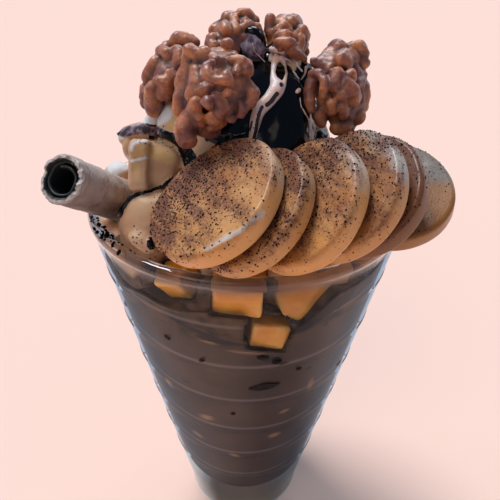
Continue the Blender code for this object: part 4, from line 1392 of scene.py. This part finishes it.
# Lobes seen from the eye, each a chain of balls: how far it stands towards the eye, then places and radii in
# the picture
LOBES = {
    "walnut_1": [
        (0.0, (190, 51, 7.5), (188, 62, 6.5), (188, 74, 7), (186, 86, 8), (182, 98, 9.5), (179, 109, 7.5)),
        (-0.6, (197, 70, 8), (197, 84, 9), (194, 96, 9), (208, 90, 8)),
        (1.2, (189, 50, 6.5), (197, 55, 6.5), (205, 54, 7), (212, 57, 6), (216, 60, 4.6)),
        (3.4, (212, 63, 4.4), (207, 68, 6), (208, 75, 6.2), (215, 80, 4.8), (222, 81, 4.8),
         (228, 79, 6), (227, 75, 5.5)),
        (2.0, (232, 60, 4.6), (238, 60, 5.4), (243, 61, 4.8), (239, 68, 6), (236, 73, 4)),
        (3.6, (196, 104, 7.5), (193, 112, 8.5), (188, 121, 10.5), (185, 130, 12),
         (186, 138, 10.5), (190, 141, 8)),
        (4.0, (207, 102, 6.4), (210, 106, 5)), (4.0, (199, 117, 5.5), (200, 124, 5)), (3.6, (190, 104, 3.5)),
        (2.0, (217, 98, 7), (222, 104, 6.5), (220, 112, 7.5), (226, 108, 4.5)), (2.2, (227, 92, 4.4)),
        (1.2, (214, 118, 8.5), (222, 122, 6), (210, 127, 6)), (2.0, (232, 120, 4.4)),
        (0.4, (249, 85, 5), (252, 94, 8), (250, 103, 6.4)),
        (1.4, (241, 104, 5), (243, 110, 5.6), (241, 115, 4.6)),
    ],
    "walnut_2": [
        (0.6, (162, 52, 6), (168, 54, 6)), (0.4, (172, 43, 4.6), (178, 40, 7.4), (185, 40, 7.6), (192, 44, 6)),
        (0.0, (192, 37, 3.4), (197, 42, 3.6)), (0.0, (178, 52, 7.5), (181, 61, 6.4), (187, 54, 7)),
        (1.6, (153, 90, 8.5), (154, 99, 10), (153, 109, 8)), (1.2, (159, 81, 6), (166, 84, 8), (164, 93, 8.5)),
        (0.6, (169, 73, 4.6), (175, 78, 6), (174, 88, 6)), (0.4, (163, 103, 8), (170, 98, 6)),
    ],
    "walnut_3": [
        (1.0, (225, 26, 5.8), (226, 31, 5.6)), (0.0, (235, 18, 5.2), (234, 25, 5), (237, 31, 5)),
        (0.6, (241, 13, 4.6), (246, 13, 6), (251, 16, 4.4)), (2.4, (246, 22, 5), (249, 25, 5.4), (244, 27, 4.4)),
        (0.4, (255, 20, 4.6)), (1.8, (257, 28, 4.8), (260, 33, 4.2), (253, 30, 4)),
        (2.0, (213, 40, 7), (209, 44, 5), (215, 47, 6)), (4.0, (227, 44, 6.6), (227, 50, 5)), (0, (244, 38, 6)),
    ],
    "walnut_4": [
        (1.4, (270, 19, 5.6), (269, 26, 5), (267, 31, 3.8)), (0.8, (280, 22, 5.4), (284, 26, 5.4), (279, 30, 5)),
        (1.4, (286, 35, 6), (279, 36, 4.6), (291, 35, 3.8)), (3.0, (278, 43, 5), (286, 43, 5.4), (292, 42, 4.2)),
        (0.8, (301, 38, 4.4), (301, 44, 3.8), (299, 50, 4)), (2.2, (291, 50, 5), (298, 56, 5.4), (304, 60, 4.4)),
        (2.4, (280, 48, 4.4)),
    ],
    "walnut_5": [
        (1.0, (314, 62, 4.6), (318, 65, 5.4)), (0.0, (332, 62, 5.4), (329, 70, 5.4), (334, 56, 3.4)),
        (1.6, (341, 60, 7.6), (346, 57, 8.4), (346, 63, 7)), (0.2, (353, 48, 7), (359, 48, 7.6), (364, 53, 5.4)),
        (0.2, (363, 63, 6), (366, 63, 3.8), (360, 66, 4.6)), (0.0, (363, 74, 3.8), (365, 75, 3)),
        (2.4, (350, 75, 6.2), (352, 78, 5)), (1.2, (361, 83, 5.4), (357, 82, 4.6), (363, 79, 3.8)),
        (1.6, (345, 86, 9.5), (350, 93, 10), (353, 99, 7), (358, 97, 4.8), (341, 95, 7.5)),
        (1.4, (337, 75, 8), (335, 85, 8)),
        (3.0, (313, 74, 5.4), (320, 74, 5), (324, 81, 3.8), (324, 90, 4.6), (323, 96, 3.4)),
        (2.4, (312, 84, 7.4), (309, 93, 6.4), (309, 102, 6.4), (311, 109, 5)),
        (2.4, (331, 104, 5.4), (332, 112, 5)), (2.4, (343, 108, 5.4), (343, 115, 4.8)),
        (0.6, (318, 114, 7), (321, 122, 6)),
    ],
}


def on_kernel(place, half_sizes, u, v):
    """Where the line of sight through a picture point meets the kernel, or passes nearest to it."""
    turn_back = place.inverted()
    scale = Matrix.Diagonal([1 / (size * MM) for size in half_sizes]).to_4x4()
    eye = scale @ (turn_back @ EYE)
    way = scale.to_3x3() @ (turn_back.to_3x3() @ look_through(u, v))
    nearest = -eye.dot(way) / way.dot(way)
    outside = (eye + way * nearest).length_squared
    if outside < 1:
        nearest -= math.sqrt((1 - outside) / way.dot(way))
    return place @ (scale.inverted() @ (eye + way * nearest))


def add_back_lobes(shape, place, half_sizes, to_eye, number):
    """Lobes like those in front on the half of the kernel that the eye doesn't see, evenly spread."""
    for lobe in range(BACK_FOLDS):
        height = 1 - 2 * (lobe + 0.5) / BACK_FOLDS
        angle = GOLDEN_ANGLE * lobe + number
        flat = math.sqrt(1 - height * height)
        way = Vector((flat * math.cos(angle), flat * math.sin(angle), height))
        if way.dot(to_eye) > 0.15 or way.z < -0.45:
            continue
        bend = noise.noise(way * 3 + Vector((number, 0, 0))) * 4
        side = way.orthogonal().normalized()
        side = side * math.cos(bend) + way.cross(side) * math.sin(bend)
        chain = []
        for step in (-1, 0, 1):
            spot = (way + side * 0.26 * step).normalized()
            radius = (2.4 - 0.5 * abs(step) + 0.5 * noise.noise(spot * 4)) * MM
            local = Vector([spot[i] * max(half_sizes[i] * MM - radius, 2 * MM) for i in range(3)])
            chain.append(Vector((*(place @ local), radius)))
        add_balls(shape, chain)


def make_walnut(name, number, centre, dome, along, half_sizes, kernel):
    """A folded core in the solid's place, with the lobes that show laid on it and all fused together."""
    place = Matrix.Translation(rim_point(centre)) @ facing(dome, along)
    to_eye = (place.to_3x3().inverted() @ (EYE - place.translation)).normalized()
    shape = bmesh.new()
    core = bmesh.ops.create_icosphere(shape, subdivisions=5, radius=1)["verts"]
    shift = Vector((3.7, 1.9, 5.3)) * number
    for vertex in core:
        way = vertex.co.normalized()
        groove = math.exp(-(way.y / 0.12) ** 2) * max(way.z, 0)
        facing_eye = max(way.dot(to_eye), 0)
        swell = kernel - 0.10 * groove + (FOLD_BED - kernel) * facing_eye + 0.08 * noise.noise(way * 2 + shift)
        depth = 0.72 if way.z < 0 else 1
        local = Vector((way.x * half_sizes[0], way.y * half_sizes[1], way.z * half_sizes[2] * depth))
        vertex.co = place @ (local * swell * MM)
    add_back_lobes(shape, place, half_sizes, to_eye, number)
    carried = [size * FOLD_BED for size in half_sizes]
    chains(shape, LOBES[name], lambda u, v: on_kernel(place, carried, u, v))
    mesh = melt(f"walnut_half_{number}", shape, WALNUT_GRAIN, 3)
    shift_points(mesh, lambda point, normal: 0.30 * MM * noise.noise(point / MM * 0.4 + shift)
                 + 0.10 * MM * noise.noise(point / MM * 1.3 + shift))
    paint_relief(mesh, 40, 0.8 * MM)
    rows = points_of(mesh)
    rows[:, 2] = np.minimum(rows[:, 2], WALNUT_TOP)
    set_points(mesh, rows)
    return mesh


def walnut_skin():
    """Thin skin over the kernel: red-brown, with painted shade in its creases and painted highlights on its
    ridges, and finely veined.
    """
    finish, tree, shader = new_finish(
        "walnut_skin", Roughness=0.45, Coat_Weight=0.3, Coat_Roughness=0.28, Subsurface_Weight=0.30,
        Subsurface_Radius=(3.0, 1.1, 0.5), Subsurface_Scale=MM, Specular_IOR_Level=0.5,
        Sheen_Weight=0.12, Sheen_Roughness=0.35, Sheen_Tint=(0.85, 0.90, 1.0, 1),
    )
    place = object_place(tree)
    relief = read_attribute(tree, "relief")
    mask = use_group(tree, CLOUDS, Place=place, Scale=0.22, Low=0.38, High=0.62)
    colour = blend_colour(tree, mask, (0.22, 0.058, 0.036, 1), (0.58, 0.205, 0.070, 1))
    # Painted shade, near black in the creases
    colour = blend_colour(tree, stretch(tree, relief, 0.58, 0.26), colour, (0.022, 0.007, 0.008, 1))
    # Painted highlight, paler on the ridges
    colour = blend_colour(tree, stretch(tree, relief, 0.74, 1.0, 0.0, 0.5), colour, (0.70, 0.42, 0.32, 1))
    fine = add_noise(tree, place, 1.7, 5.0)
    veins = stretch(tree, fine, 0.40, 0.52, 0.35, 0.0)
    colour = blend_colour(tree, veins, colour, (0.13, 0.055, 0.04, 1))
    tree.links.new(colour, shader.inputs["Base Color"])
    roughen(tree, shader, fine, 0.4, 0.3 * MM)
    return finish


WALNUT_SKIN = walnut_skin()
for number, (name, measures) in enumerate(WALNUTS.items(), start=1):
    mesh = make_walnut(name, number, *measures)
    add_piece(mesh.name, mesh, WALNUT_SKIN, "walnut", name)


# ---- The rolled wafer ----
# A thin chocolate wafer rolled hot into a tube: its sheet winds round in a slow spiral, so fine lines run round
# the outside, a curled edge shows inside the mouth, and the broken end is ragged.
WAFER_OUTER_END = (-41.6, -29.8, 16.9)
WAFER_INNER_END = (-32.0, -5.0, -2.6)
WAFER_RADIUS = 5.7 * MM
WAFER_WALL = 1.3 * MM
WAFER_TURN_PITCH = 7.5 * MM
WAFER_SIDES = 120
# The way that the side painted pale with light faces
WAFER_LIT_SIDE = Vector((0.15, 0.25, 0.95))


def wafer_place():
    outer, inner = rim_point(WAFER_OUTER_END), rim_point(WAFER_INNER_END)
    return Matrix.Translation(inner) @ facing(outer - inner, (1, 0, 0)), (outer - inner).length


def wafer_profile(length):
    """Outside from the hidden end to the mouth, over its edge and back down the bore."""
    bore = WAFER_RADIUS - WAFER_WALL
    outside = [(WAFER_RADIUS, length * step / 110) for step in range(109)]
    mouth = arc((WAFER_RADIUS - WAFER_WALL / 2, length - WAFER_WALL / 2), WAFER_WALL / 2, 0, 180, 8)
    inside = [(bore, length * step / 50) for step in range(48, -1, -1)]
    return outside + mouth + inside


def make_wafer():
    place, length = wafer_place()
    mesh = turned("rolled_wafer", wafer_profile(length), WAFER_SIDES)
    shape = bmesh.new()
    shape.from_mesh(mesh)
    loose = [edge for edge in shape.edges if edge.is_boundary]
    bmesh.ops.bridge_loops(shape, edges=loose)
    mesh = mesh_from(shape, "rolled_wafer")
    rolled = mesh.attributes.new("rolled", "FLOAT_VECTOR", "POINT")
    unrolled = []
    for vertex in mesh.vertices:
        x, y, z = vertex.co
        angle = math.atan2(y, x)
        unrolled += [angle * WAFER_RADIUS / MM, z / MM, math.hypot(x, y) / MM]
        wound = (angle / (2 * math.pi) + z / WAFER_TURN_PITCH) % 1
        outside = math.hypot(x, y) > WAFER_RADIUS - WAFER_WALL / 2
        step = (0.22 * (1 - wound) - 0.11 if outside else 0.30 * wound - 0.2) * MM
        step += 0.10 * MM * noise.noise(Vector((x, y, z)) / MM * 0.6)
        scale = 1 + step / math.hypot(x, y)
        near_mouth = max(1 - (length - z) / (4 * MM), 0)
        ragged = 0.9 * MM * noise.noise(Vector((math.cos(angle) * 2.4, math.sin(angle) * 2.4, 3.3)))
        ragged += 0.5 * MM * noise.noise(Vector((math.cos(angle) * 7, math.sin(angle) * 7, 8.1)))
        vertex.co = (x * scale, y * scale, z + (ragged - 0.5 * MM) * near_mouth)
    rolled.data.foreach_set("vector", unrolled)
    mesh.transform(place)
    mesh.update()
    bore_edge = WAFER_RADIUS - 0.75 * WAFER_WALL
    # Marks the bore, which the shader darkens with painted shade
    paint(mesh, "inside", lambda point: 1.0 if off_axis(place, point) < bore_edge else 0)
    # Painted light: paler on the side that faces up and towards the outer end
    upper = []
    for vertex in mesh.vertices:
        along = (place.inverted() @ vertex.co).z / length
        upper.append(0.72 + 0.80 * vertex.normal.dot(WAFER_LIT_SIDE) + 0.9 * (along - 0.72))
    paint_all(mesh, "upper", upper)
    return mesh


def off_axis(place, point):
    """How far a point lies from the middle line of the tube."""
    local = place.inverted() @ point
    return math.hypot(local.x, local.y)


def make_wafer_curl():
    """The inner edge of the rolled sheet: a thin strip that winds once and a bit inside the bore."""
    place, length = wafer_place()
    shape = bmesh.new()
    rows = []
    turns, steps, levels = 1.15, 80, 30
    for level in range(levels + 1):
        row = []
        for step in range(steps + 1):
            share = step / steps
            angle = 2 * math.pi * turns * share + 0.8
            radius = WAFER_RADIUS - WAFER_WALL - (0.15 + 1.3 * share) * MM
            ragged = 0.8 * MM * noise.noise(Vector((share * 9, 1.7, 0))) * (level / levels)
            height = length * (0.30 + 0.66 * level / levels) + ragged
            row.append(shape.verts.new((radius * math.cos(angle), radius * math.sin(angle), height)))
        rows.append(row)
    for lower, upper in zip(rows, rows[1:]):
        for step in range(steps):
            shape.faces.new((lower[step], lower[step + 1], upper[step + 1], upper[step]))
    mesh = mesh_from(shape, "wafer_curl")
    item = bpy.data.objects.new("wafer_curl", mesh)
    bpy.context.collection.objects.link(item)
    wall = item.modifiers.new("wall", "SOLIDIFY")
    wall.thickness = 0.45 * MM
    wall.offset = 0
    mesh = finished(item, "wafer_curl")
    mesh.transform(place)
    mesh.update()
    # The strip inside the bore gets the painted shade too
    paint(mesh, "inside", lambda point: 1.0)
    return mesh


def baked_wafer():
    finish, tree, shader = new_finish("baked_wafer", Roughness=0.6, Specular_IOR_Level=0.4, Coat_Weight=0.12,
                                     Coat_Roughness=0.35)
    rolled = add_node(tree, "ShaderNodeAttribute", {"attribute_name": "rolled"}).outputs["Vector"]
    mask = use_group(tree, CLOUDS, Place=rolled, Scale=0.35, Low=0.35, High=0.65)
    brown = blend_colour(tree, mask, (0.130, 0.088, 0.068, 1), (0.220, 0.155, 0.125, 1))
    # Painted light: pale on the lit side
    painted_top_light = blend_colour(tree, mask, (0.58, 0.46, 0.39, 1), (0.68, 0.60, 0.55, 1))
    colour = blend_colour(tree, stretch(tree, read_attribute(tree, "upper"), 0.2, 0.9), brown, painted_top_light)
    slant = add_node(tree, "ShaderNodeMapping", None, {"Vector": rolled, "Rotation": (0, 0, 0.21)}).outputs[0]
    lines = add_node(tree, "ShaderNodeTexWave", {"bands_direction": "Y"},
                     {"Vector": slant, "Scale": 0.62, "Distortion": 2.2, "Detail": 3.0, "Detail Scale": 1.6})
    line = lines.outputs["Fac"]
    colour = blend_colour(tree, stretch(tree, line, 0.55, 0.95, 0.0, 0.40), colour, (0.085, 0.055, 0.042, 1))
    # Painted shade inside the bore
    inside = read_attribute(tree, "inside")
    colour = blend_colour(tree, inside, colour, (0.020, 0.022, 0.020, 1))
    tree.links.new(colour, shader.inputs["Base Color"])
    roughen(tree, shader, line, 0.5, 0.25 * MM)
    return finish


BAKED_WAFER = baked_wafer()
add_piece("rolled_wafer", make_wafer(), BAKED_WAFER, "wafer", "wafer")
add_piece("wafer_curl", make_wafer_curl(), BAKED_WAFER, "wafer")


# ---- Crumbs on the rim ----
# Broken chocolate that fell on the lip of the glass at the left, and lies on it and just inside it.
CRUMB_SMALLEST, CRUMB_LARGEST = 0.22 * MM, 0.75 * MM
CRUMB_DENSITY = 1.3 / MM ** 2
CRUMB_SIDES = 240
# Where the crumbs lie thickest round the lip and how far they reach to each side, in degrees
CRUMB_BEARING, CRUMB_SPREAD = 213, 15


def make_crumb_bed():
    """The upper half of the lip, painted with how many crumbs lie on each stretch of it."""
    lip = (RIM_RADIUS - LIP_RADIUS, RIM.z - LIP_RADIUS)
    shape = bmesh.new()
    rings = []
    for radius, height in arc(lip, LIP_RADIUS, 150, 40, 6):
        angles = [2 * math.pi * side / CRUMB_SIDES for side in range(CRUMB_SIDES)]
        rings.append([shape.verts.new((radius * math.cos(a), radius * math.sin(a), height)) for a in angles])
    for lower, upper in zip(rings, rings[1:]):
        for side in range(CRUMB_SIDES):
            after = (side + 1) % CRUMB_SIDES
            shape.faces.new((lower[side], upper[side], upper[after], lower[after]))
    mesh = bpy.data.meshes.new("crumb_bed")
    shape.to_mesh(mesh)
    shape.free()

    def crowded(point):
        bearing = math.degrees(math.atan2(point.y, point.x)) % 360
        thick = math.exp(-((bearing - CRUMB_BEARING) / CRUMB_SPREAD) ** 2)
        return 0.06 + thick * (0.75 + 0.5 * noise.noise(point / MM * 0.25))

    paint(mesh, "crumbs", crowded)
    return mesh


crumbs = scatter("rim_crumbs", make_crumb_bed(), "crumbs", CRUMB_DENSITY, CRUMB_SMALLEST, CRUMB_LARGEST, 5,
                 DARK_CHOCOLATE)
add_piece("rim_crumbs", crumbs, DARK_CHOCOLATE, "whipped_cream")
